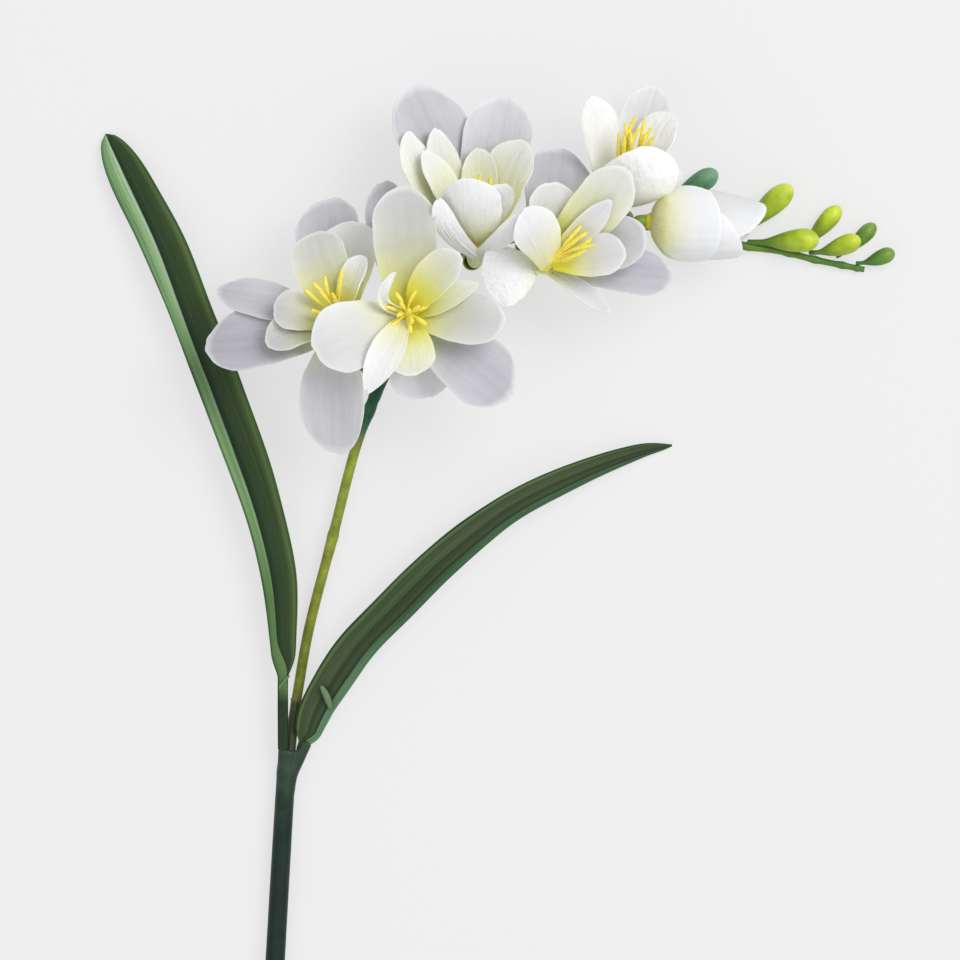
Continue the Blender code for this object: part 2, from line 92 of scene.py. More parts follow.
# %% Helpers for node trees
def new_finish(name):
    """An empty material with its shader, ready for a recipe."""
    material = bpy.data.materials.new(name)
    material.use_nodes = True
    tree = material.node_tree
    return material, tree, tree.nodes["Principled BSDF"]


def add(tree, kind, links=None, **settings):
    """Add a node, set its properties, and wire or set its inputs."""
    node = tree.nodes.new("ShaderNode" + kind)
    for key, value in settings.items():
        setattr(node, key, value)
    for key, value in (links or {}).items():
        if isinstance(value, bpy.types.NodeSocket):
            tree.links.new(value, node.inputs[key])
        else:
            node.inputs[key].default_value = value
    return node


def ramp(tree, factor, stops):
    """A colour ramp through (position, (r, g, b)) stops."""
    node = add(tree, "ValToRGB", {"Fac": factor})
    elements = node.color_ramp.elements
    while len(elements) < len(stops):
        elements.new(0.5)
    for element, (position, colour) in zip(elements, stops):
        element.position = position
        element.color = (*colour, 1)
    return node.outputs["Color"]


def mix(tree, kind, factor, first, second):
    """Blend two colours."""
    node = add(tree, "Mix", data_type="RGBA", blend_type=kind)
    for index, value in ((0, factor), (6, first), (7, second)):
        if isinstance(value, bpy.types.NodeSocket):
            tree.links.new(value, node.inputs[index])
        else:
            node.inputs[index].default_value = value if index == 0 else (*value, 1)
    return node.outputs[2]


def maths(tree, operation, first, second):
    """One arithmetic step."""
    return add(tree, "Math", {0: first, 1: second}, operation=operation).outputs[0]


def stretched_noise(tree, vector, scale, detail=3.0):
    """Noise drawn out along an axis by unequal scales."""
    stretched = add(tree, "Mapping", {"Vector": vector, "Scale": scale}).outputs[0]
    return add(tree, "TexNoise", {"Vector": stretched, "Scale": 1.0, "Detail": detail}).outputs["Fac"]


def relief(tree, shader, height, distance, strength):
    """Drive the shader's normal with a height."""
    bump = add(tree, "Bump", {"Height": height, "Distance": distance, "Strength": strength})
    tree.links.new(bump.outputs[0], shader.inputs["Normal"])


print("helpers ready")

# %% [markdown]
# ## The petals' finish
# A freesia's petal is yellow in the throat and clears to white within half of its length. Fine veins
# run its whole length. No two petals are equally white: thin ones look grey, others are bright, and each
# petal's whiteness also holds painted light and shade, greyer or brighter than the lamps alone make it. So
# each petal carries a number for its whiteness with that painted light and shade, and its own map says how
# far a point is from the throat and from the midline. The finish mixes grey and white by that number and
# tints the result from the throat.

# %% Petal finish
# the grey end of the mix below is the thin petals' own grey together with painted shade
PETAL_GREY_AND_SHADE = (0.37, 0.37, 0.41)
PETAL_WHITE = (0.93, 0.935, 0.94)
THROAT_WHITE = (0.84, 0.84, 0.80)


def petal_finish(name, tints, reach, vein_shade):
    """Whiteness of each petal, tinted from throat to rim, with lengthwise veins."""
    material, tree, shader = new_finish(name)
    uv = add(tree, "UVMap", uv_map="UVMap").outputs[0]
    parts = add(tree, "SeparateXYZ", {0: uv})
    place = add(tree, "TexCoord").outputs["Object"]
    # the whiteness number read here is partly each petal's own tone and partly painted light and shade
    pallor = add(tree, "Attribute", attribute_name="pallor").outputs["Fac"]
    gold = add(tree, "Attribute", attribute_name="gold").outputs["Fac"]
    blotch = add(tree, "TexNoise", {"Vector": place, "Scale": 110.0}).outputs["Fac"]
    drift = maths(tree, "MULTIPLY", maths(tree, "SUBTRACT", blotch, 0.5), 0.16)
    # how far from the throat and how far off the midline, from 0 to 1; a gold above 1 draws the first out
    drifted = maths(tree, "ADD", parts.outputs[0], drift)
    along = maths(tree, "DIVIDE", drifted, maths(tree, "MAXIMUM", gold, 1.0))
    off_midline = maths(tree, "ABSOLUTE", maths(tree, "SUBTRACT", parts.outputs[1], 0.5), 0.0)
    across = maths(tree, "MULTIPLY", off_midline, 2.0)
    # the petal's grey or white, partly its own tone and partly painted light and shade, paler towards both
    # margins, then the throat and the rim
    margin = maths(tree, "MULTIPLY", maths(tree, "POWER", across, 2.0), 0.34)
    paleness = maths(tree, "ADD", maths(tree, "SUBTRACT", maths(tree, "MULTIPLY", pallor, 0.875), 0.05),
                     maths(tree, "ADD", drift, margin))
    blade = mix(tree, "MIX", paleness, PETAL_GREY_AND_SHADE, PETAL_WHITE)
    glow = add(tree, "MapRange", {0: along, 1: 0.0, 2: reach, 3: 1.0, 4: 0.0}).outputs[0]
    body = mix(tree, "MIX", glow, blade, THROAT_WHITE)
    rim = add(tree, "MapRange", {0: maths(tree, "MAXIMUM", across, parts.outputs[0]),
                                 1: 0.93, 2: 0.99, 3: 0.0, 4: 0.45}).outputs[0]
    rimmed = mix(tree, "MIX", rim, body, PETAL_WHITE)
    tinted = mix(tree, "MULTIPLY", gold, rimmed, ramp(tree, along, tints))
    # veins shade every petal, and broader streaks shade the grey ones most
    veins = stretched_noise(tree, uv, (1.1, 46, 1))
    streaks = stretched_noise(tree, uv, (1.3, 9, 1), 2.0)
    shade = ramp(tree, veins, [(0.3, vein_shade), (0.62, (1, 1, 1))])
    soft = ramp(tree, streaks, [(0.35, vein_shade), (0.65, (1, 1, 1))])
    clarity = maths(tree, "SUBTRACT", 1.2, pallor)
    shaded = mix(tree, "MULTIPLY", clarity, mix(tree, "MULTIPLY", 0.45, tinted, shade), soft)
    tree.links.new(shaded, shader.inputs["Base Color"])
    # the relief: ribs, a fine crinkle, and creases that only the whitest petals show
    crinkle = add(tree, "TexNoise", {"Vector": place, "Scale": 420.0}).outputs["Fac"]
    ribs = maths(tree, "MULTIPLY", maths(tree, "ADD", maths(tree, "MULTIPLY", veins, 0.4), streaks),
                 maths(tree, "ADD", pallor, 0.4))
    creases = stretched_noise(tree, uv, (9, 17, 1), 2.0)
    folds = maths(tree, "MULTIPLY", creases, maths(tree, "POWER", pallor, 4.0))
    height = maths(tree, "ADD", maths(tree, "ADD", ribs, maths(tree, "MULTIPLY", crinkle, 0.4)),
                   maths(tree, "MULTIPLY", folds, 1.35))
    relief(tree, shader, height, 0.0007, 0.4)
    satin = ramp(tree, crinkle, [(0.2, (0.5, 0.5, 0.5)), (0.8, (0.72, 0.72, 0.72))])
    tree.links.new(satin, shader.inputs["Roughness"])
    shader.inputs["Subsurface Weight"].default_value = 0.15
    shader.inputs["Subsurface Radius"].default_value = (1.0, 0.95, 0.7)
    shader.inputs["Subsurface Scale"].default_value = 0.002
    shader.inputs["Specular IOR Level"].default_value = 0.25
    return material


OUTER_TINTS = [(0.0, (0.86, 0.92, 0.42)), (0.14, (0.94, 0.98, 0.68)), (0.36, (0.99, 1, 0.95)),
               (0.5, (1, 1, 1))]
INNER_TINTS = [(0.0, (0.97, 0.90, 0.07)), (0.14, (0.98, 0.95, 0.22)), (0.32, (0.98, 1, 0.60)),
               (0.55, (0.99, 1, 0.86)), (0.85, (1, 1, 0.97))]
HEART_TINTS = [(0.0, (0.98, 0.88, 0.04)), (0.2, (0.98, 0.94, 0.16)), (0.38, (0.99, 1, 0.60)),
               (0.6, (1, 1, 0.92)), (0.8, (1, 1, 1))]
OUTER_PETALS = petal_finish("outer_petal_white", OUTER_TINTS, 0.4, (0.90, 0.90, 0.925))
INNER_PETALS = petal_finish("inner_petal_cream", INNER_TINTS, 0.45, (0.95, 0.95, 0.94))
HEART_PETALS = petal_finish("heart_petal_cream", HEART_TINTS, 0.5, (0.955, 0.955, 0.945))
print("petal finishes ready")

# %% [markdown]
# ## The green finishes
# Leaves are dark, with fine lines along their length and a light edge. One half is paler than the other
# because light and shade are painted on the fold's two sides: the small side painted lit, the broad side
# painted in shade, with a painted shadow line along the fold and a painted sheen near the tip. The colours
# are given across the leaf, from the margin of its small side, over the fold, to the other margin.
# Stem, stalk and buds are waxy and mottled, and the buds are paler towards their tips. Stem and stalk read
# their place in the whole flower, because their colour changes along the plant.

# %% Leaf finish
BRACT_GREEN = (0.16, 0.25, 0.13)


def leaf_finish(name, lit_and_shaded_section, fold, foot_tint, sheen, channel_end):
    """Folded leaf: colours across it with painted light and shade on its two sides, a tint on its small
    side's foot, and a painted sheen near its tip.
    """
    material, tree, shader = new_finish(name)
    uv = add(tree, "UVMap", uv_map="UVMap").outputs[0]
    parts = add(tree, "SeparateXYZ", {0: uv})
    lines = stretched_noise(tree, uv, (3.0, 42, 1), 4.0)
    patch = add(tree, "TexNoise", {"Vector": add(tree, "TexCoord").outputs["Object"], "Scale": 60.0,
                                   "Detail": 4.0}).outputs["Fac"]
    wander = maths(tree, "MULTIPLY", maths(tree, "SUBTRACT", patch, 0.5), 0.05)
    across = maths(tree, "ADD", parts.outputs[1], wander)
    # colours across the leaf with their painted light and shade, and a painted sheen on the small side next
    # to the fold that grows towards the tip
    sheen_stroke = ramp(tree, parts.outputs[0], [(0.5, (0, 0, 0)), (0.94, sheen)])
    fold_sheen_band = ramp(tree, across, [(fold * 0.45, (0, 0, 0)), (fold * 0.85, (1, 1, 1)), (fold, (0, 0, 0))])
    lit = mix(tree, "ADD", 1.0, ramp(tree, across, lit_and_shaded_section), mix(tree, "MULTIPLY", 1.0, sheen_stroke, fold_sheen_band))
    tint = ramp(tree, lines, [(0.3, (0.6, 0.66, 0.58)), (0.55, (1, 1, 1)), (0.8, (1.5, 1.45, 1.2))])
    # the small side takes a tint of its own near the foot, and the channel is the darkest
    small_side = add(tree, "MapRange", {0: across, 1: fold - 0.03, 2: fold, 3: 1.0, 4: 0.0}).outputs[0]
    low = add(tree, "MapRange", {0: parts.outputs[0], 1: 0.3, 2: 0.45, 3: 1.0, 4: 0.0}).outputs[0]
    footed = mix(tree, "MULTIPLY", maths(tree, "MULTIPLY", small_side, low), lit, foot_tint)
    channel = ramp(tree, parts.outputs[0], [(channel_end * 0.7, (0.16, 0.2, 0.26)), (channel_end, (1, 1, 1))])
    lined = mix(tree, "MULTIPLY", 1.0, footed, tint)
    blade = mix(tree, "MULTIPLY", 1.0, lined, channel)
    bract = add(tree, "Attribute", attribute_name="bract").outputs["Fac"]
    tree.links.new(mix(tree, "MIX", bract, blade, BRACT_GREEN), shader.inputs["Base Color"])
    relief(tree, shader, lines, 0.0006, 0.5)
    shader.inputs["Roughness"].default_value = 0.5
    shader.inputs["Specular IOR Level"].default_value = 0.22
    return material


LEFT_FOLD = 0.28
RIGHT_FOLD = 0.22
# across each leaf the small side up to the fold is painted lit, a dark line at the fold is painted shadow,
# and the broad side is painted in shade
LEFT_LIT_AND_SHADED_SECTION = [(0.0, (0.03, 0.10, 0.03)), (0.06, (0.17, 0.31, 0.13)), (0.2, (0.19, 0.33, 0.14)),
                (0.255, (0.25, 0.38, 0.20)), (0.28, (0.004, 0.015, 0.008)), (0.33, (0.010, 0.030, 0.012)),
                (0.46, (0.026, 0.054, 0.018)), (0.78, (0.034, 0.066, 0.02)), (0.92, (0.095, 0.15, 0.045)),
                (0.985, (0.03, 0.09, 0.02))]
RIGHT_LIT_AND_SHADED_SECTION = [(0.0, (0.03, 0.15, 0.04)), (0.03, (0.05, 0.12, 0.055)), (0.19, (0.05, 0.105, 0.052)),
                 (0.22, (0.014, 0.03, 0.012)), (0.32, (0.045, 0.07, 0.03)), (0.5, (0.025, 0.042, 0.016)),
                 (0.58, (0.06, 0.095, 0.04)), (0.84, (0.042, 0.068, 0.028)), (0.93, (0.10, 0.16, 0.05)),
                 (0.975, (0.012, 0.045, 0.012))]
LEFT_LEAF_FINISH = leaf_finish("leaf_green_folded", LEFT_LIT_AND_SHADED_SECTION, LEFT_FOLD, foot_tint=(0.5, 0.58, 0.42),
                               sheen=(0.17, 0.17, 0.18), channel_end=0.125)
RIGHT_LEAF_FINISH = leaf_finish("leaf_green_olive", RIGHT_LIT_AND_SHADED_SECTION, RIGHT_FOLD, foot_tint=(2.4, 2.0, 2.3),
                                sheen=(0, 0, 0), channel_end=0.01)
print("leaf finishes ready")


# %% Waxy green finishes
def waxy_finish(name, stops, run, start, length, mottling=0.3, gloss=0.3):
    """Waxy green that changes along the flower ("x" or "y") or along the piece itself ("length")."""
    material, tree, shader = new_finish(name)
    place = add(tree, "TexCoord").outputs["Object"]
    chart = add(tree, "UVMap", uv_map="UVMap").outputs[0] if run == "length" else place
    parts = add(tree, "SeparateXYZ", {0: chart})
    axis = {"length": 0, "x": 0, "y": 1}[run]
    share = maths(tree, "DIVIDE", maths(tree, "SUBTRACT", parts.outputs[axis], start), length)
    mottle = add(tree, "TexNoise", {"Vector": place, "Scale": 260.0, "Detail": 5.0}).outputs["Fac"]
    wander = maths(tree, "MULTIPLY", maths(tree, "SUBTRACT", mottle, 0.5), 0.12)
    colour = ramp(tree, maths(tree, "ADD", share, wander), stops)
    tint = ramp(tree, mottle, [(0.3, (1 - mottling,) * 3), (0.7, (1, 1, 1))])
    tree.links.new(mix(tree, "MULTIPLY", 1.0, colour, tint), shader.inputs["Base Color"])
    scale = (900, 70, 900) if run == "y" else (300, 300, 300)
    relief(tree, shader, stretched_noise(tree, place, scale), 0.0004, 0.4)
    shader.inputs["Roughness"].default_value = 0.42
    shader.inputs["Specular IOR Level"].default_value = gloss
    return material


STEM = waxy_finish("stem_dark_green", [(0, (0.010, 0.024, 0.018)), (0.75, (0.012, 0.03, 0.022)),
                                       (1, (0.04, 0.075, 0.045))], "y", FORK.y - 0.1, 0.1, gloss=0.2)
SLEEVE = waxy_finish("sleeve_brown_green", [(0, (0.035, 0.05, 0.026)), (0.6, (0.05, 0.06, 0.025)),
                                            (0.9, (0.07, 0.075, 0.02)), (1, (0.2, 0.16, 0.02))],
                     "length", 0, 1)
STALK = waxy_finish("stalk_yellow_green", [(0, (0.16, 0.19, 0.015)), (0.45, (0.28, 0.33, 0.03)),
                                           (0.8, (0.30, 0.38, 0.04)), (0.88, (0.04, 0.15, 0.07)),
                                           (1, (0.045, 0.15, 0.08))],
                    "y", FORK.y + 0.013, 0.094, mottling=0.45)
SPIKE = waxy_finish("spike_green", [(0, (0.03, 0.13, 0.06)), (0.6, (0.05, 0.15, 0.03)),
                                    (0.75, (0.14, 0.26, 0.02)), (1, (0.07, 0.2, 0.03))],
                    "x", FORK.x + 0.025, 0.15)
BUD = waxy_finish("bud_yellow_green", [(0, (0.05, 0.14, 0.02)), (0.3, (0.17, 0.30, 0.02)),
                                       (0.6, (0.38, 0.52, 0.02)), (0.85, (0.58, 0.70, 0.04)),
                                       (1, (0.74, 0.80, 0.13))], "length", 0, 1, gloss=0.4)
LATE_BUD = waxy_finish("bud_mid_green", [(0, (0.05, 0.15, 0.02)), (0.5, (0.10, 0.24, 0.025)),
                                         (1, (0.22, 0.38, 0.05))], "length", 0, 1, gloss=0.4)
DARK_BUD = waxy_finish("bud_blue_green", [(0, (0.03, 0.11, 0.05)), (0.6, (0.09, 0.26, 0.13)),
                                          (1, (0.22, 0.40, 0.24))], "length", 0, 1, gloss=0.4)
CALYX = waxy_finish("calyx_green", [(0, (0.16, 0.28, 0.03)), (1, (0.32, 0.44, 0.07))], "length", 0, 1)
print("green finishes ready")


# %% Stamen finish
def stamen_finish():
    """Powdery yellow, deeper where pollen gathers."""
    material, tree, shader = new_finish("stamen_yellow_pollen")
    place = add(tree, "TexCoord").outputs["Object"]
    grain = add(tree, "TexNoise", {"Vector": place, "Scale": 900.0}).outputs["Fac"]
    colour = ramp(tree, grain, [(0.3, (0.84, 0.68, 0.05)), (0.7, (0.93, 0.85, 0.17))])
    tree.links.new(colour, shader.inputs["Base Color"])
    relief(tree, shader, grain, 0.0003, 0.5)
    shader.inputs["Roughness"].default_value = 0.7
    return material


STAMEN = stamen_finish()
print("stamen finish ready")

# %% [markdown]
# ## Making pieces
# A piece is drawn in millimetres from the fork, then moved to its place in metres as one mesh. Several
# blades of one whorl are gathered in one bmesh, so that they stay one piece as on the real flower. Petals
# and leaves all start as flat grids, which bend without a tear and carry a map along and across.

# %% Turn a drawing in millimetres into a piece
def add_piece(bm, name, material, nodes):
    """Place a drawn piece, give it its finish, and let it stand for its nodes."""
    bmesh.ops.scale(bm, vec=(MM, MM, MM), verts=bm.verts)
    bmesh.ops.translate(bm, vec=FORK, verts=bm.verts)
    mesh = bpy.data.meshes.new(name)
    bm.to_mesh(mesh)
    bm.free()
    mesh.materials.append(material)
    mesh.shade_smooth()
    mesh.set_sharp_from_angle(angle=radians(50))
    piece = bpy.data.objects.new(name, mesh)
    bpy.context.collection.objects.link(piece)
    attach(piece, "root")
    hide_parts(*nodes)
    print(name, "faces:", len(mesh.polygons))
    return piece


def gather(bm, part):
    """Copy one drawing into another and free it."""
    mesh = bpy.data.meshes.new("gathered")
    part.to_mesh(mesh)
    part.free()
    bm.from_mesh(mesh)
    bpy.data.meshes.remove(mesh)


def paint(bm, **numbers):
    """Give every point of a drawing the same numbers for its finish to read."""
    for name, value in numbers.items():
        layer = bm.verts.layers.float.new(name)
        for vert in bm.verts:
            vert[layer] = value


# %% Bent grids
def flat_grid(along, across):
    """Grid with a map of its own, from -1 to 1 both ways, ready to be bent."""
    bm = bmesh.new()
    bm.loops.layers.uv.new("UVMap")
    bmesh.ops.create_grid(bm, x_segments=along, y_segments=across, size=1, calc_uvs=True)
    return bm


def thicken(bm, thickness):
    """Turn a bent grid into a closed skin."""
    bm.normal_update()
    bmesh.ops.solidify(bm, geom=bm.faces[:], thickness=thickness)
    bmesh.ops.recalc_face_normals(bm, faces=bm.faces)


print("grids ready")


# %% Routes and directions
def smooth_route(points, steps):
    """Catmull-Rom curve through the points, with so many steps between two of them."""
    points = [Vector(p) for p in points]
    padded = [points[0] * 2 - points[1]] + points + [points[-1] * 2 - points[-2]]
    route = []
    for p0, p1, p2, p3 in zip(padded, padded[1:], padded[2:], padded[3:]):
        for step in range(steps):
            t = step / steps
            bend = (p0 * 2 - p1 * 5 + p2 * 4 - p3) * t * t + (p1 * 3 - p0 - p2 * 3 + p3) * t * t * t
            route.append((p1 * 2 + (p2 - p0) * t + bend) / 2)
    route.append(points[-1])
    return route


def bezier(start, control, end, s):
    """Point at a share s of a curve with one control point."""
    return start * (1 - s) ** 2 + control * 2 * s * (1 - s) + end * s * s


def tangents(route):
    """Direction of travel at every point of a route."""
    middle = [b - a for a, b in zip(route, route[2:])]
    return [t.normalized() for t in [route[1] - route[0]] + middle + [route[-1] - route[-2]]]


def perpendicular(vector, direction):
    """The part of a vector square to a direction, at unit length."""
    return (vector - direction * vector.dot(direction)).normalized()


# %% [markdown]
# ## Round stalks
# Stem, stalks, buds and stamens are all a ring drawn along a route while its radius changes. One ring is
# made, and then extruded from place to place: that keeps the sides in line, and both ends get a cap.

# %% A round bar along a route
def round_bar(route, radii, sides=20):
    """Closed bar with a ring of its own radius at every point of the route."""
    bm = bmesh.new()
    headings = tangents(route)
    turn = Vector((0, 0, 1)).rotation_difference(headings[0]).to_matrix().to_4x4()
    start = Matrix.Translation(route[0]) @ turn
    bmesh.ops.create_circle(bm, segments=sides, radius=radii[0], matrix=start, cap_ends=True)
    edges = bm.edges[:]
    for index in range(1, len(route)):
        grown = bmesh.ops.extrude_edge_only(bm, edges=edges)["geom"]
        verts = [item for item in grown if isinstance(item, bmesh.types.BMVert)]
        edges = [item for item in grown if isinstance(item, bmesh.types.BMEdge)]
        step = headings[index - 1].rotation_difference(headings[index]).to_matrix().to_4x4()
        size = radii[index] / radii[index - 1]
        move = Matrix.Translation(route[index]) @ step @ Matrix.Scale(size, 4)
        bmesh.ops.transform(bm, matrix=move @ Matrix.Translation(-route[index - 1]), verts=verts)
    bmesh.ops.holes_fill(bm, edges=edges, sides=0)
    bmesh.ops.recalc_face_normals(bm, faces=bm.faces)
    chart = bm.loops.layers.uv.new("UVMap")
    bm.verts.index_update()
    for face in bm.faces:
        for loop in face.loops:
            ring, place = divmod(loop.vert.index, sides)
            loop[chart].uv = (ring / (len(route) - 1), 1 - abs(2 * place / sides - 1))
    return bm


print("round bars ready")


# %% Melt overlapping bars into one skin
def melt(bm, voxel, passes):
    """One smooth closed skin round everything in the drawing."""
    mesh = bpy.data.meshes.new("melting")
    bm.to_mesh(mesh)
    bm.free()
    holder = bpy.data.objects.new("melting", mesh)
    bpy.context.collection.objects.link(holder)
    remesh = holder.modifiers.new("skin", "REMESH")
    remesh.mode = "VOXEL"
    remesh.voxel_size = voxel
    smooth = holder.modifiers.new("smooth", "SMOOTH")
    smooth.iterations = passes
    skin = bpy.data.meshes.new_from_object(holder.evaluated_get(bpy.context.evaluated_depsgraph_get()))
    bpy.data.objects.remove(holder)
    bpy.data.meshes.remove(mesh)
    bm = bmesh.new()
    bm.from_mesh(skin)
    bpy.data.meshes.remove(skin)
    return bm


print("melting ready")


# %% [markdown]
# ## The green parts
# The stem is a smooth bar with a moulded fork for the right leaf and a short channel for the left one, so
# three bars are melted into one skin. A brownish sleeve holds the foot of the flower stalk, a small ring
# shows where the stalk is joined, and a green collar ends it below the first floret. Each is a round bar
# with a radius that swells at its rings.

# %% Stem with its fork
def ringed(count, start, end, rings):
    """Radii that taper from start to end, with a swelling at each (share, height, width)."""
    radii = []
    for index in range(count):
        s = index / (count - 1)
        swell = sum(height * exp(-((s - place) / width) ** 2) for place, height, width in rings)
        radii.append(start + (end - start) * s + swell)
    return radii


stem_line = smooth_route(STEM_ROUTE, 30)
stem_rings = [(0.7, 0.12, 0.02), (0.93, 0.15, 0.05)]
stem = round_bar(stem_line, ringed(len(stem_line), 3.1, 2.75, stem_rings), sides=32)
fork_line = smooth_route([(-1.6, -15, 3.3), (-0.3, -9.5, 3.35), (2, -5, 3.4), (4.9, 0.5, 3.7)], 6)
gather(stem, round_bar(fork_line, ringed(len(fork_line), 2.7, 1.6, []), sides=24))
channel_line = smooth_route([(-1.6, -10, 3.4), (-2.2, -4, 3.7), (-2.5, 2, 4.3)], 8)
gather(stem, round_bar(channel_line, ringed(len(channel_line), 2.4, 1.2, []), sides=24))
add_piece(melt(stem, voxel=0.4, passes=8), "stem_with_fork", STEM, ["main_stem"])

# %% Sleeve, stalk and spike
STALK_ROUTE = [
    (1.6, 13, 2.6), (5.5, 35, 3.2), (12.5, 62, 4.2), (19.2, 88, 5), (25, 104, 5.5), (26.2, 106.4, 5.5),
]
SPIKE_ROUTE = [
    (25.15, 104.4, 5.5), (33, 119, 5.2), (49, 144, 4.4), (64, 151.5, 3.6), (93, 156, 3), (118, 155, 2.4),
    (135, 150.5, 2.2), (148, 148.5, 2), (158, 146, 1.8), (168, 144, 1.5), (173, 143, 1.4),
]
sleeve_line = smooth_route([(-0.4, -3.5, 2.8), (0.6, 6, 2.5), (1.7, 13.6, 2.6)], 14)
sleeve_rings = [(0.97, 0.22, 0.03), (0.86, 0.06, 0.03)]
sleeve = round_bar(sleeve_line, ringed(len(sleeve_line), 1.65, 1.6, sleeve_rings), sides=24)
add_piece(sleeve, "sleeve_of_stalk", SLEEVE, ["stalk_sleeve"])

stalk_line = smooth_route(STALK_ROUTE, 24)
stalk_rings = [(0.405, 0.25, 0.01), (0.38, 0.12, 0.02), (0.74, 0.45, 0.04), (0.82, 0.4, 0.03),
               (0.96, 0.3, 0.04)]
stalk = round_bar(stalk_line, ringed(len(stalk_line), 1.55, 1.5, stalk_rings), sides=24)
add_piece(stalk, "stalk_of_flower", STALK, ["flower_stalk"])

spike_line = smooth_route(SPIKE_ROUTE, 10)
joints = [(share, 0.3, 0.012) for share in (0.2, 0.33, 0.5, 0.62, 0.72, 0.8, 0.88, 0.95)]
spike = round_bar(spike_line, ringed(len(spike_line), 1.5, 0.85, [(0.0, 0.4, 0.015)] + joints), sides=20)
add_piece(spike, "spike_of_flower", SPIKE, ["flower_spike"])

# %% [markdown]
# ## The leaves
# A freesia leaf is a long strap with a fold along it, and a narrow channel for a foot. A grid gives an even
# mesh with its own map. Each of its points then goes to its place: the length follows the leaf's route and
# the width one short formula. The fold lies about a quarter of the way across, and both sides rise from it.
# Near the foot of each leaf sits a small pale tongue.

# %% Leaf blades
# the route of its middle, its full width, and the share of it in the channel; the opening of the channel
# (where, over what share); where the blade is broadest, how it swells before and falls after, how blunt it
# ends; the fold's place across, and the fold's way (where the channel's fold ends, at its foot, at the tip)
Leaf = namedtuple("Leaf", "route width channel opening broadest swell fall blunt fold crease")
LEAF_THICKNESS = 0.5
BRACT_END = 0.3
LEFT_LEAF = Leaf(
    route=[(-2.3, -1.6, 5.1), (-2.4, 16, 5.6), (-2.3, 31, 6), (-3.8, 52, 6.5), (-9.8, 76, 7.5),
           (-19.5, 103, 7.5), (-28, 125, 6.5), (-37.7, 149, 4.5), (-47, 167, 2.5), (-56, 184, 0.8)],
    width=13.2, channel=0.24, opening=(0.08, 0.12), broadest=0.6, swell=0.8, fall=8, blunt=0.6,
    fold=LEFT_FOLD, crease=(0.12, 0.95, 0.46),
)
RIGHT_LEAF = Leaf(
    route=[(3.3, -2.2, 3.4), (5, 3, 4.2), (7, 9, 5.5), (10.7, 16, 7), (19.5, 29, 9.5), (31, 41, 11),
           (43, 53, 11.5), (56, 64, 10.5), (70, 73.5, 8.5), (88, 82, 5), (105, 88, 2), (115, 90, 0.8)],
    width=11.2, channel=0.3, opening=(-0.04, 0.15), broadest=0.42, swell=0.35, fall=1.8, blunt=0.72,
    fold=RIGHT_FOLD, crease=(0, 0.8, RIGHT_FOLD),
)


def ease(x):
    """Smooth step from 0 to 1."""
    x = min(1, max(0, x))
    return x * x * (3 - 2 * x)


def leaf_outline(s, leaf):
    """Share of the leaf's full width at a share s of its length."""
    start, length = leaf.opening
    if s < leaf.broadest:
        return max(leaf.channel, sin(pi / 2 * s / leaf.broadest) ** leaf.swell * ease((s - start) / length))
    return max(0.03, (1 - ((s - leaf.broadest) / (1 - leaf.broadest)) ** leaf.fall) ** leaf.blunt)


def leaf_blade(leaf, mirrored):
    """Folded strap leaf with a slightly wavy rim; the fold runs to the far edge in the channel."""
    route = smooth_route(leaf.route, 12)
    headings = tangents(route)
    count = len(route) - 1
    crease_start, crease_foot, crease_tip = leaf.crease
    hand = -1 if mirrored else 1
    bm = flat_grid(count, 24)
    for vert in bm.verts:
        s = (vert.co.x + 1) / 2
        y = (vert.co.y + 1) / 2
        index = round(s * count)
        crease = leaf.fold + (crease_foot - leaf.fold) * (1 - ease((s - crease_start) / 0.11))
        crease += (crease_tip - leaf.fold) * ease((s - 0.6) / 0.4)
        if y < leaf.fold:
            place = y / leaf.fold * crease
        else:
            place = crease + (y - leaf.fold) / (1 - leaf.fold) * (1 - crease)
        side = Vector((0, 0, 1)).cross(headings[index]).normalized() * hand
        width = leaf.width * leaf_outline(s, leaf)
        rippling = ease((s - 0.15) / 0.1) * ease((1 - s) / 0.1) * (2 * y - 1) ** 2
        ripple = 0.25 * sin(26 * s + 3 * y) * rippling
        across = (0.5 - place) * width * (1 + 0.012 * sin(43 * s))
        lift = abs(place - crease) * width * 0.36 + ripple
        vert.co = route[index] + side * (across + ripple * 0.4) + Vector((0, 0, lift))
    thicken(bm, LEAF_THICKNESS)
    return bm


def bract(points, thickest):
    """Small pale tongue along three points, thickest at its middle."""
    line = smooth_route(points, 8)
    shares = [k / (len(line) - 1) for k in range(len(line))]
    radii = [BRACT_END + (thickest - BRACT_END) * sin(pi * (0.15 + 0.8 * s)) ** 0.8 for s in shares]
    bar = round_bar(line, radii, sides=14)
    paint(bar, bract=1)
    return bar


left_leaf = leaf_blade(LEFT_LEAF, mirrored=False)
gather(left_leaf, bract([(-3.6, 16.6, 6.6), (-2, 18.8, 7.4), (-0.4, 20.6, 7.2)], 0.42))
add_piece(left_leaf, "left_leaf_blade", LEFT_LEAF_FINISH, ["left_leaf"])
right_leaf = leaf_blade(RIGHT_LEAF, mirrored=True)
gather(right_leaf, bract([(12, 11, 6.9), (10.8, 14.6, 9.1), (9.3, 17.6, 10.4)], 1.05))
add_piece(right_leaf, "right_leaf_blade", RIGHT_LEAF_FINISH, ["right_leaf"])

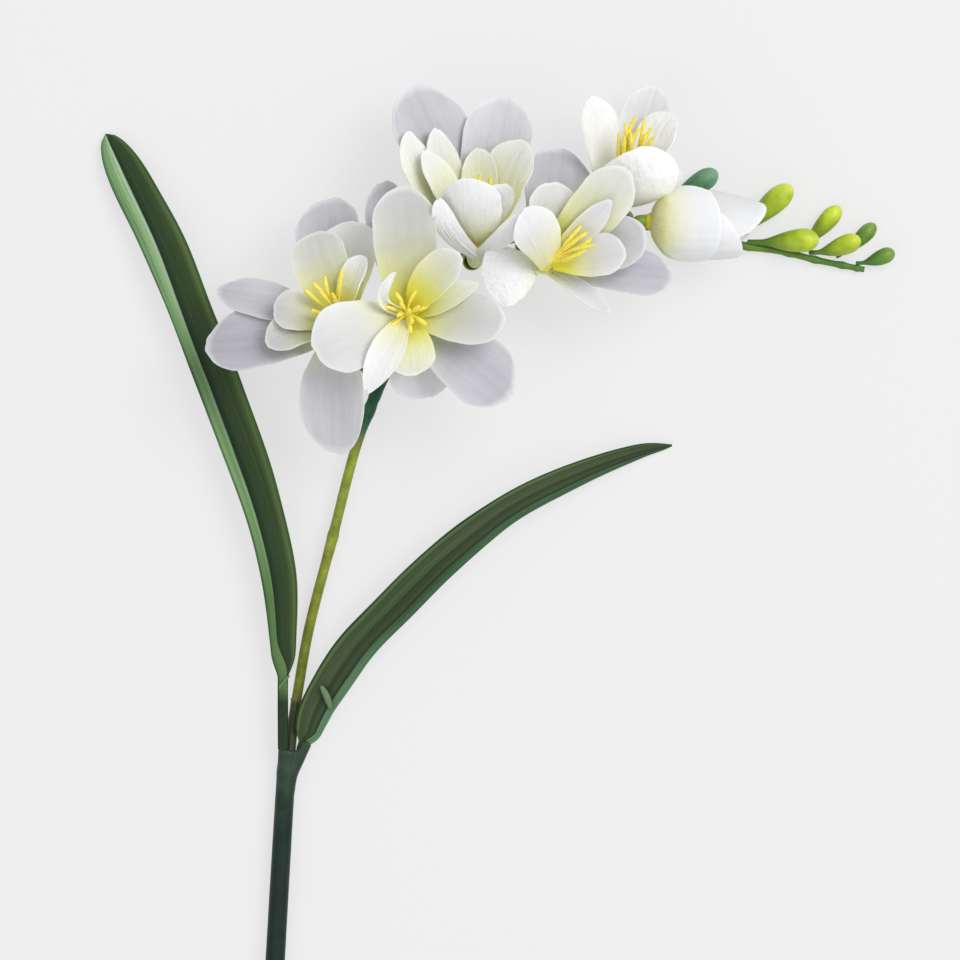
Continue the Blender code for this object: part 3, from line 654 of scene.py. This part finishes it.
# %% [markdown]
# ## The florets' plan
# Each petal is planned much as on the imported model: where its tip lies from the floret's hub, how wide it
# is, how far its middle is lifted, pushed aside and bowed outwards, how hollow it is, how pointed, and which
# way its back looks where that isn't straight away from the floret's axis. Three things are added for its
# looks: how white it is, which also holds painted light and shade, so that some petals are greyer and some
# brighter than the lamps alone make them; how golden its foot is; and how deep the notch in its tip is. A
# gold above 1 also carries the yellow further up the petal. The third floret's hub stands 4 mm further out
# along its axis than on the imported model, so that the stalk passes under it. All lengths are in
# millimetres.

# %% The florets' plan
Petal = namedtuple("Petal", "tip width rise swing bow cup point back white gold notch",
                   defaults=(2, 0, 0, 1.5, 0, None, 0.5, 1, 0.015))
Floret = namedtuple("Floret", "foot hub axis outer inner heart stamens")

FLORETS = {
    "a": Floret(
        foot=(25, 111, 7), hub=(16, 126, 29), axis=(-0.3, 0.4, 0.87),
        outer=[
            Petal((-38, 10, -8), 12, 3, point=0.3, white=0.38),
            Petal((-41, -6, -4), 20, 3, swing=2.5, white=0.21),
            Petal((-2, -39, -6), 21, 4, white=0.52),
            Petal((-5, 38, -13), 20, 3, white=0.4),
        ],
        inner=[
            Petal((-8, 26.5, 0.5), 17.5, 4, white=0.5, gold=1.25),
            Petal((5, 30, -4.5), 19, 3.5, white=1, gold=1),
            Petal((-20, 3, 4), 13, 3, white=0.42, gold=1.25),
            Petal((-22, -7, 6), 12, 3, white=0.45, gold=1.25),
        ],
        heart=[Petal((8, 18.5, 6), 8.5, 2, white=0.85, gold=1.2)],
        stamens=[(-11, 10, 9), (-8.5, 12, 10), (-5, 14, 10), (-6.5, 9.5, 11), (0, 16, 12), (-9, 4, 10),
                 (-3, 9, 11), (-7.5, 1, 10)],
    ),
    "b": Floret(
        foot=(34, 119, 8.8), hub=(35, 128, 33), axis=(0.05, 0.2, 0.98),
        outer=[
            Petal((-7, 41, -13.5), 15, 2, white=0.35),
            Petal((31, -24, -3), 21, 3, white=0.26),
            Petal((6.5, -24, -9), 20, 2, white=0.72),
        ],
        inner=[
            Petal((-1, 38.5, 6), 19.5, 4, white=0.37, gold=1.1),
            Petal((29.5, -2.5, 7), 16, 3, white=0.43, gold=1.0),
            Petal((-27, -11.5, 9), 21, 5, white=0.7, gold=0.35),
            Petal((1.5, -18, 7), 15, 3, white=0.8, gold=1.8),
            Petal((22, 9.5, 9), 8, 2, point=1, white=0.8, gold=1.5),
        ],
        heart=[
            Petal((16.5, 17, 13), 12, 3, swing=1.5, point=0.2, white=0.65, gold=1.5),
            Petal((-12, -24, 12), 10, 4, point=0.7, white=0.9, gold=0.4, notch=0.07),
            Petal((-3, 12.5, 11), 3.4, 1, swing=6, white=1.1, gold=0.3),
        ],
        stamens=[(-6, 3, 8), (-3, 7, 8), (3, 7.5, 8), (7, 3.5, 8), (1.5, -5, 8), (-5, -3, 8), (1, 2, 11),
                 (6, -2.5, 8), (-1.5, 4, 11), (4, 3, 11), (2, -2, 11), (-2.5, 0, 11)],
    ),
    "c": Floret(
        foot=(54, 147, 8), hub=(56.1, 148.5, 23.6), axis=(0.03, 0.75, 0.66),
        outer=[
            Petal((-20.1, 49, -4.6), 24, 3, white=0.35),
            Petal((8.9, 46, -4.6), 21, 3, white=0.56),
            Petal((-11.4, 14.5, 21.4), 6.8, 1, swing=-3.2, bow=2.6, cup=0.6, back=(0.25, -0.6, 0.74),
                  white=1.06, gold=0.2),
            Petal((15.4, 10.5, 17.4), 6.8, 1, swing=0.6, bow=2.6, cup=0.6, back=(-0.1, -0.66, 0.75),
                  white=1.06, gold=0.2),
        ],
        inner=[
            Petal((-20.6, 34, 2.4), 13, 3, swing=5.5, point=0.5, white=0.95, gold=1.3),
            Petal((-12.1, 35, 0.4), 11, 3, swing=3, point=0.4, white=0.9, gold=1.3),
            Petal((-16.1, 28, 7.4), 11, 3, swing=1.5, point=0.5, white=0.92, gold=1.3),
            Petal((14.4, 31, 3.4), 16, 3, point=0.2, white=0.85, gold=1.4),
            Petal((0.9, 29, 1.4), 11, 3, point=0.3, white=0.75, gold=1.7),
        ],
        heart=[
            Petal((-2.6, 17.5, 20.9), 18.5, 0, bow=3, cup=3, back=(-0.1, -0.65, 0.75), white=0.97, gold=0.5),
            Petal((7.4, 15.8, 18), 13, 1, bow=1, back=(0.3, -0.6, 0.75), white=0.9, gold=0.5),
        ],
        stamens=[(2, 20, 9.4), (4, 21, 8.4), (1, 22, 8.4), (5.5, 18.5, 8.4), (-0.5, 20, 9.4)],
    ),
    "d": Floret(
        foot=(70, 151.4, 6.2), hub=(76, 144, 27), axis=(0.4, 0.1, 0.91),
        outer=[
            Petal((5, 35, -9), 22, 2, white=0.29),
            Petal((39, -4, -8), 14, 3, white=0.23),
            Petal((20, -15, 0), 6, 2, cup=0.4, point=0.8, white=0.7),
            Petal((-18, -5.5, 3), 18.5, 0.5, cup=0.5, white=1.14, gold=0.3),
        ],
        inner=[
            Petal((24, 28, 9), 17, 3, white=0.6, gold=1.45),
            Petal((30, 9, 1), 16, 3, white=0.28),
            Petal((1, 24, 6), 16, 3, white=0.65),
        ],
        heart=[
            Petal((23, 3, 5), 13, 1.5, white=0.58),
            Petal((-8, 15, 14), 14.5, 3.5, back=(0.2, -0.95, 0.1), white=0.83, gold=0.5),
            Petal((18.5, 18.5, 8), 8, 2, point=0.6, white=0.65),
        ],
        stamens=[(11, 11, 11), (14, 7, 13), (15, 5, 14), (9, 2, 13), (10, 7, 12), (13, 9, 12), (12, 3.5, 13)],
    ),
    "e": Floret(
        foot=(101, 158.5, 5.5), hub=(98, 162, 15), axis=(0.15, 0.8, 0.58),
        outer=[
            Petal((-8.5, 32, 9), 15.5, 3, point=0.3, white=1.1, gold=0.4),
            Petal((12, 36, -3), 15, 2, white=0.74),
            Petal((19.5, 11, -8), 12, 2, white=1.1, gold=0.4),
        ],
        inner=[
            Petal((16.5, 26, 4), 14, 2, white=1.14, gold=0.15),
            Petal((4.5, 15, 17), 25, 0, swing=3, bow=4, cup=3, back=(0.05, -0.6, 0.8), white=1.14, gold=0.2),
        ],
        heart=[],
        stamens=[(0.5, 21, 15), (2.5, 24, 15), (5.5, 26, 15), (8, 25, 15), (10, 22.5, 14), (11, 20, 14),
                 (4, 21, 16), (6.5, 22.5, 16), (2, 20, 16), (8.5, 20.5, 16)],
    ),
}
print("florets:", len(FLORETS), "petals:", sum(len(f.outer + f.inner + f.heart) for f in FLORETS.values()))

# %% [markdown]
# ## Petals
# A petal is a grid bent along a curve from the throat to its tip. Each could be sculpted, but one formula
# serves them all and keeps their meshes even. Its width has a foot, a broad blade and a round or pointed
# end. Across, it is hollowed like a spoon. The rim waves a little, because a soft petal is never a true
# surface. Thickness comes last.

# %% Petal blades
# the narrowest foot of a petal, in millimetres and as a share of its width, how much its tip's corners are
# rounded off, and how far from the floret's axis the petals of each whorl start
CLAW_WIDTH = 3.6
CLAW_SHARE = 0.38
TIP_ROUNDING = 0.3
PETAL_THICKNESS = 0.35
RINGS = {"outer": 3.6, "inner": 2.2, "heart": 1.6}


def petal_outline(s, width, point):
    """Half the petal's width at a share s of its length."""
    broadest = 0.64 - 0.2 * point
    claw = min(1, max(CLAW_SHARE, CLAW_WIDTH / width))
    tip_share = 0.74 - 0.55 * point
    if s < broadest:
        return width / 2 * (claw + (1 - claw) * sin(pi / 2 * s / broadest))
    return width / 2 * (1 - (1 - tip_share) * ((s - broadest) / (1 - broadest)) ** 2)


def petal_blade(hub, axis, ring, petal, phase):
    """One thin, cupped and slightly ruffled petal."""
    tip = hub + Vector(petal.tip)
    outward = perpendicular(Vector(petal.back) if petal.back else tip - hub, axis)
    foot = hub + outward * ring - axis * 0.5
    middle = (foot + tip) / 2 + axis * petal.rise + axis.cross(outward) * petal.swing + outward * petal.bow
    control = middle * 2 - (foot + tip) / 2
    bm = flat_grid(30, 20)
    for vert in bm.verts:
        v = sin(pi / 2 * vert.co.y)
        s = (vert.co.x + 1) / 2
        corner = TIP_ROUNDING * (1 - sqrt(1 - v * v)) + petal.notch * exp(-(v / 0.22) ** 2) * s ** 3
        scallop = 0.008 * sin(5 * v + phase) + 0.003 * sin(13 * v + phase * 3)
        s *= 1 - corner * s * s + scallop * s ** 4
        centre = bezier(foot, control, tip, s)
        direction = ((control - foot) * (1 - s) + (tip - control) * s).normalized()
        inside = (axis * direction.dot(outward) - outward * direction.dot(axis)).normalized()
        side = direction.cross(inside)
        half = petal_outline(min(s, 1), petal.width, petal.point)
        share = half / (petal.width / 2)
        hollow = petal.cup * v * v * share * share
        ruffle = 0.022 * v * v * sin(8 * s + phase + 2 * v) + 0.010 * abs(v) ** 3 * sin(23 * s + phase)
        groove = -0.25 * exp(-(v / 0.12) ** 2) * (1 - s) + 0.07 * cos(16 * v + phase) * s * (1 - s) * 3
        rim = 1 + 0.02 * sin(9 * s + phase * 2 + 3 * v) + 0.008 * sin(27 * s + phase)
        vert.co = centre + side * half * v * rim + inside * (hollow + petal.width * s * ruffle + groove)
    thicken(bm, PETAL_THICKNESS)
    # each petal's whiteness is partly its own tone and partly painted light and shade
    paint(bm, pallor=petal.white, gold=petal.gold)
    return bm


print("petals ready")

# %% [markdown]
# ## Stamens and calyx
# A stamen is a slim bar that swells into a long anther. The calyx is a small green cup, turned from its
# profile, that holds the foot of the floret's tube.

# %% Stamens and calyx
def stamen(start, end, swirl):
    """Filament with a long anther at its tip."""
    heading = (end - start).normalized()
    up = perpendicular(Vector((0, 0, 1)), heading)
    bow = up * 0.1 + heading.cross(up) * swirl
    control = (start + end) / 2 + bow * (end - start).length
    shares = [k / 16 for k in range(17)]
    radii = [0.38 + 0.32 * sin(pi * min(1, max(0, (s - 0.45) / 0.55))) ** 0.5 for s in shares]
    return round_bar([bezier(start, control, end, s) for s in shares], radii, sides=10)


CALYX_FOOT = 1.2


def calyx(foot, axis, height):
    """Green cup with a rolled lip."""
    bm = bmesh.new()
    inner, outer = 1.8, 2.4
    profile = [
        (0, -CALYX_FOOT), (outer * 0.7, -1.15), (outer * 0.92, -0.7), (outer, 0),
        (outer + 0.35, height * 0.5), (outer + 0.6, height - 0.2), (outer + 0.4, height),
        (inner + 0.7, height - 0.1), (inner + 0.3, height * 0.5), (inner, -0.3), (0, -0.3),
    ]
    verts = [bm.verts.new((x, 0, z)) for x, z in profile]
    edges = [bm.edges.new(pair) for pair in zip(verts, verts[1:])]
    bmesh.ops.spin(bm, geom=verts + edges, axis=(0, 0, 1), cent=(0, 0, 0), steps=28, angle=2 * pi,
                   use_merge=True)
    bmesh.ops.remove_doubles(bm, verts=bm.verts, dist=0.001)
    bmesh.ops.recalc_face_normals(bm, faces=bm.faces)
    chart = bm.loops.layers.uv.new("UVMap")
    for face in bm.faces:
        for loop in face.loops:
            loop[chart].uv = ((loop.vert.co.z + CALYX_FOOT) / (height + CALYX_FOOT), 0.5)
    turn = Vector((0, 0, 1)).rotation_difference(axis).to_matrix().to_4x4()
    bmesh.ops.transform(bm, matrix=Matrix.Translation(foot) @ turn, verts=bm.verts)
    return bm


print("stamens and calyx ready")

# %% [markdown]
# ## Putting a floret together
# A floret is built as it grows: the tube with its outer petals, then one whorl above another, then the
# stamens in the middle. Every whorl stands on a small core of its own, which closes the throat.

# %% Build the five open florets
WHORL_HEIGHT = 1.9
WHORL_GAP = 0.3
STAMEN_SWIRL = 0.12
THROAT_SHARE = 0.12


def core(route, radii):
    """Round bar that belongs to a whorl: it takes the colour of the throat."""
    bm = round_bar(route, radii, sides=24)
    chart = bm.loops.layers.uv.active
    for face in bm.faces:
        for loop in face.loops:
            loop[chart].uv.x *= THROAT_SHARE
    paint(bm, pallor=0.8, gold=1)
    return bm


def build_floret(key, plan):
    """All the pieces of one open floret."""
    foot, hub, axis = Vector(plan.foot), Vector(plan.hub), Vector(plan.axis).normalized()
    bend = hub - axis * (hub - foot).length * 0.5
    shares = [k / 14 for k in range(15)]
    body = core([bezier(foot, bend, hub, s) for s in shares], [1.5 + 2.4 * s ** 1.8 for s in shares])
    for order, petal in enumerate(plan.outer):
        gather(body, petal_blade(hub, axis, RINGS["outer"], petal, order * 1.7))
    add_piece(body, f"floret_{key}_outer_whorl", OUTER_PETALS, [f"floret_{key}_outer_petals"])
    level = hub + axis * WHORL_GAP
    for title, finish in (("inner", INNER_PETALS), ("heart", HEART_PETALS)):
        petals = getattr(plan, title)
        if not petals:
            continue
        top = level + axis * WHORL_HEIGHT
        ring = RINGS[title]
        body = core([level, level.lerp(top, 0.6), top], [ring + 0.4, ring + 0.3, ring - 0.5])
        for order, petal in enumerate(petals):
            gather(body, petal_blade(level + axis * 1.3, axis, ring, petal, order * 2.3 + 1))
        add_piece(body, f"floret_{key}_{title}_whorl", finish,
                  [f"floret_{key}_{title}_petals"])
        level = top + axis * WHORL_GAP
    body = round_bar([level, level + axis * 0.6, level + axis * 1.2], [0.8, 0.8, 0.3])
    for order, tip in enumerate(plan.stamens):
        end = hub + Vector(tip)
        start = level + axis * 0.6 + perpendicular(end - level, axis) * 0.4
        gather(body, stamen(start, end, STAMEN_SWIRL * sin(order * 2.4)))
    add_piece(body, f"floret_{key}_stamen_cluster", STAMEN, [f"floret_{key}_stamens"])
    height = min(5, 0.3 * (hub - foot).length)
    cup = calyx(foot, (bend - foot).normalized(), height)
    add_piece(cup, f"floret_{key}_calyx_cup", CALYX, [f"floret_{key}_calyx"])


for key, plan in FLORETS.items():
    build_floret(key, plan)

# %% [markdown]
# ## The floret that is still shut
# Its outer petals wrap a closed body and overlap, because each keeps a distance of its own from it: the
# uppermost lies over its neighbours on both sides. Inside them, three rolled tips close its end. All are
# bent round the body from the same kind of grid as the open petals. An angle of 0 is the side that looks
# up, and all lengths are in millimetres.

# %% The shut floret
# where the spike carries it, its foot and its tip, then the length of its body and its radii at the bulge
# and the neck; where the petals stop following the body, how fast they draw in, and their gap to the body
CLOSED_CARRIER = (104, 156.4, 4.6)
CLOSED_FOOT = Vector((108.5, 157, 16))
CLOSED_TIP = Vector((139, 155.5, 16.5))
CLOSED_AXIS = (CLOSED_TIP - CLOSED_FOOT).normalized()
CLOSED_LENGTH = 29
CLOSED_RADIUS = 9
CLOSED_NECK = 1.6
CLOSED_BULGE = 14
WRAP_TAPER = 20
WRAP_GAP = 0.3
# where the petal lies round the body, its length, the half angle that it spans, how far it stands off, the
# share of its length that its rounded tip takes, its whiteness with painted light and shade, where it starts,
# and how far it draws in
Wrap = namedtuple("Wrap", "angle length spread lift rounding white start draw", defaults=(0, 0.4))
CLOSED_WRAPS = [Wrap(8, 21, 84, 2.1, 0.55, 0.93), Wrap(56, 27.5, 76, 1.2, 0.34, 0.95),
                Wrap(-50, 34, 76, 0.7, 0.26, 0.75), Wrap(175, 25, 70, 0.1, 0.4, 0.9)]
ROLLED_TIPS = [Wrap(100, 29.5, 80, -0.1, 0.45, 1, start=12, draw=1.3),
               Wrap(-20, 30.5, 80, 0.35, 0.45, 1, start=12, draw=1.3),
               Wrap(220, 29, 80, 0.8, 0.45, 1, start=12, draw=1.3)]


def closed_radius(along):
    """Radius of the shut floret's body at a distance from its foot."""
    share = min(1, max(0, along / CLOSED_LENGTH))
    return CLOSED_NECK + (CLOSED_RADIUS - CLOSED_NECK) * sin(pi * share ** 0.8) ** 0.7


def wrap_radius(along, draw):
    """Radius of a wrapped petal: it follows the body, and past the bulge it draws in towards its tip."""
    if along <= CLOSED_BULGE:
        return closed_radius(along)
    return max(closed_radius(along), CLOSED_RADIUS * (1 - draw * ((along - CLOSED_BULGE) / WRAP_TAPER) ** 2))


def wrapped_petal(wrap, phase):
    """A petal wrapped round the shut floret, from where it starts to its rounded tip."""
    up = perpendicular(Vector((0, 0, 1)), CLOSED_AXIS)
    side = CLOSED_AXIS.cross(up)
    bm = flat_grid(30, 28)
    for vert in bm.verts:
        v = sin(pi / 2 * vert.co.y)
        s = (vert.co.x + 1) / 2
        s *= 1 - wrap.rounding * (1 - sqrt(1 - v * v))
        angle = radians(wrap.angle + wrap.spread * v * petal_outline(s, 2, 0) ** 0.5)
        along = wrap.start + (wrap.length - wrap.start) * s
        radius = wrap_radius(along, wrap.draw)
        lift = wrap.lift * (0.3 + 0.7 * min(1, 5 * s)) + 0.2 * sin(7 * s + phase) * v * v
        out = up * cos(angle) + side * sin(angle)
        vert.co = CLOSED_FOOT + CLOSED_AXIS * along + out * (radius + WRAP_GAP + lift)
    thicken(bm, PETAL_THICKNESS)
    paint(bm, pallor=wrap.white, gold=0.6)
    return bm


shares = [0.03 + 0.93 * k / 24 for k in range(25)]
body = round_bar([CLOSED_FOOT + CLOSED_AXIS * CLOSED_LENGTH * s for s in shares],
                 [closed_radius(CLOSED_LENGTH * s) - WRAP_GAP for s in shares], sides=32)
paint(body, pallor=1, gold=0.3)
for order, wrap in enumerate(ROLLED_TIPS):
    gather(body, wrapped_petal(wrap, order * 2 + 1))
add_piece(body, "floret_f_closed_body", INNER_PETALS, ["floret_f_inner_petals"])
wraps = core([CLOSED_FOOT - CLOSED_AXIS * 1.5, CLOSED_FOOT, CLOSED_FOOT + CLOSED_AXIS * 0.8], [2.2, 2.9, 3.3])
for order, wrap in enumerate(CLOSED_WRAPS):
    gather(wraps, wrapped_petal(wrap, order * 2))
add_piece(wraps, "floret_f_wrapped_petals", HEART_PETALS, ["floret_f_outer_petals"])
neck_line = smooth_route([CLOSED_CARRIER, CLOSED_FOOT - CLOSED_AXIS * 4, CLOSED_FOOT - CLOSED_AXIS * 1.4], 8)
neck = round_bar(neck_line, ringed(len(neck_line), 1.2, 2.1, []))
add_piece(neck, "floret_f_neck", CALYX, ["floret_f_calyx"])

# %% [markdown]
# ## Buds
# The last seven flowers of the spike are still green buds. Each is a round bar with a slim foot that
# springs from the spike and a blunt, swollen tip.

# %% Buds
# the foot's share of the bud's width, where along the bud it ends, and where the bud is broadest
BUD_FOOT = 0.24
BUD_FOOT_END = 0.25
BUD_BELLY = 0.82
# where the spike carries the bud, the bend of its foot, its tip, and its greatest width
BUDS = {
    "first": ((108, 158, 3.4), (117, 165, 4), (128.5, 172.5, 5.5), 6.6),
    "second": ((135.5, 152.2, 2.6), (138.2, 157.2, 4), (151, 168, 6), 7.2),
    "third": ((137.8, 151.2, 2.9), (146, 151.1, 5), (159, 152, 7.6), 7.2),
    "fourth": ((153.3, 149.1, 1.9), (157, 152, 2.3), (165.5, 162, 4), 5.6),
    "fifth": ((156.5, 148.2, 2.2), (161, 147.5, 5), (171.5, 152.2, 7.5), 6.0),
    "sixth": ((164.5, 146.8, 1.6), (169, 149, 1.8), (176.2, 156.8, 2.6), 4.8),
    "seventh": ((170.5, 145, 2), (174, 144.5, 3), (182, 148.5, 3), 4.8),
}


def bud_radius(s, width):
    """Radius of a bud: a slim foot for a quarter of its length, then a long drop with a blunt end."""
    if s < BUD_BELLY:
        swell = sin(pi / 2 * max(0, (s - BUD_FOOT_END) / (BUD_BELLY - BUD_FOOT_END))) ** 1.4
        return width / 2 * (BUD_FOOT + (1 - BUD_FOOT) * swell)
    return width / 2 * max(0.08, sqrt(max(0, 1 - ((s - BUD_BELLY) / (1 - BUD_BELLY)) ** 2)))


def bud(carrier, foot, tip, width):
    """Closed green bud with a slender foot."""
    carrier, foot, tip = Vector(carrier), Vector(foot), Vector(tip)
    shares = [1 - (1 - k / 30) ** 1.5 for k in range(31)]
    route = [bezier(carrier, foot, tip, s) for s in shares]
    return round_bar(route, [bud_radius(s, width) for s in shares], sides=24)


for title, numbers in BUDS.items():
    finish = {"first": DARK_BUD, "sixth": LATE_BUD, "seventh": LATE_BUD}.get(title, BUD)
    add_piece(bud(*numbers), f"{title}_green_bud", finish, [f"{title}_bud"])

# %% [markdown]
# ## Floor, light and camera
# The flower lies on a plain pale floor under large soft lamps, so that the petals are modelled by gentle
# shade and nothing clips. The camera looks straight down with a long lens, which keeps tall petals true.

# %% Floor
FLOOR_GREY = 0.76
FLOOR_SHOWN = 0.87
FLOOR_GLOW_SHARE = 0.74
FLOOR_SIZE = 3
FLOOR_GAP = 0.2 * MM


def floor_finish():
    """Pale floor: rays from the camera see mostly a light grey, and the rest keeps the flower's shadow."""
    material, tree, shader = new_finish("pale_floor")
    shader.inputs["Base Color"].default_value = (FLOOR_GREY, FLOOR_GREY, FLOOR_GREY, 1)
    shader.inputs["Roughness"].default_value = 0.9
    shader.inputs["Specular IOR Level"].default_value = 0.1
    glow = add(tree, "Emission", {"Color": (FLOOR_SHOWN, FLOOR_SHOWN, FLOOR_SHOWN, 1), "Strength": 1.0})
    path = add(tree, "LightPath").outputs
    mirrored = maths(tree, "MAXIMUM", path["Is Glossy Ray"], path["Is Transmission Ray"])
    seen = maths(tree, "MAXIMUM", path["Is Camera Ray"], mirrored)
    blend = add(tree, "MixShader", {0: maths(tree, "MULTIPLY", seen, FLOOR_GLOW_SHARE)})
    tree.links.new(shader.outputs[0], blend.inputs[1])
    tree.links.new(glow.outputs[0], blend.inputs[2])
    tree.links.new(blend.outputs[0], tree.nodes["Material Output"].inputs["Surface"])
    return material


bm = bmesh.new()
bmesh.ops.create_grid(bm, x_segments=1, y_segments=1, size=FLOOR_SIZE)
mesh = bpy.data.meshes.new("floor")
bm.to_mesh(mesh)
bm.free()
mesh.materials.append(floor_finish())
floor = bpy.data.objects.new("floor", mesh)
floor.location = (0, 0, CAD_BOX[0][2] - FLOOR_GAP)
bpy.context.collection.objects.link(floor)
print("floor", FLOOR_SIZE * 2, "m wide")


# %% Lights and camera
def soft_lamp(name, place, size, power, aim):
    """Large square lamp that faces a point."""
    light = bpy.data.lights.new(name, "AREA")
    light.size = size
    light.energy = power
    lamp = bpy.data.objects.new(name, light)
    lamp.location = place
    lamp.rotation_euler = (aim - Vector(place)).to_track_quat("-Z", "Y").to_euler()
    bpy.context.collection.objects.link(lamp)


WORLD_LIGHT = 0.58
view_centre = FORK + Vector((57, 79.5, 15)) * MM
soft_lamp("key", (0.7, 0.6, 1.2), size=0.9, power=13.2, aim=view_centre)
soft_lamp("fill", (-0.6, -0.8, 1.2), size=1.2, power=5.6, aim=view_centre)

world = bpy.data.worlds.new("studio")
world.use_nodes = True
world.node_tree.nodes["Background"].inputs["Color"].default_value = (1, 1, 1, 1)
world.node_tree.nodes["Background"].inputs["Strength"].default_value = WORLD_LIGHT
bpy.context.scene.world = world

FRAME_WIDTH = 288 * MM
DISTANCE = 2.2
SENSOR = 36
camera = bpy.data.cameras.new("camera")
camera.sensor_width = SENSOR
camera.lens = SENSOR * DISTANCE / FRAME_WIDTH
camera_object = bpy.data.objects.new("camera", camera)
camera_object.location = view_centre + Vector((0, 0, DISTANCE))
bpy.context.collection.objects.link(camera_object)
bpy.context.scene.camera = camera_object
bpy.context.scene.view_settings.view_transform = "Standard"
print("camera", DISTANCE, "m above the flower, seeing", round(FRAME_WIDTH / MM), "mm across")
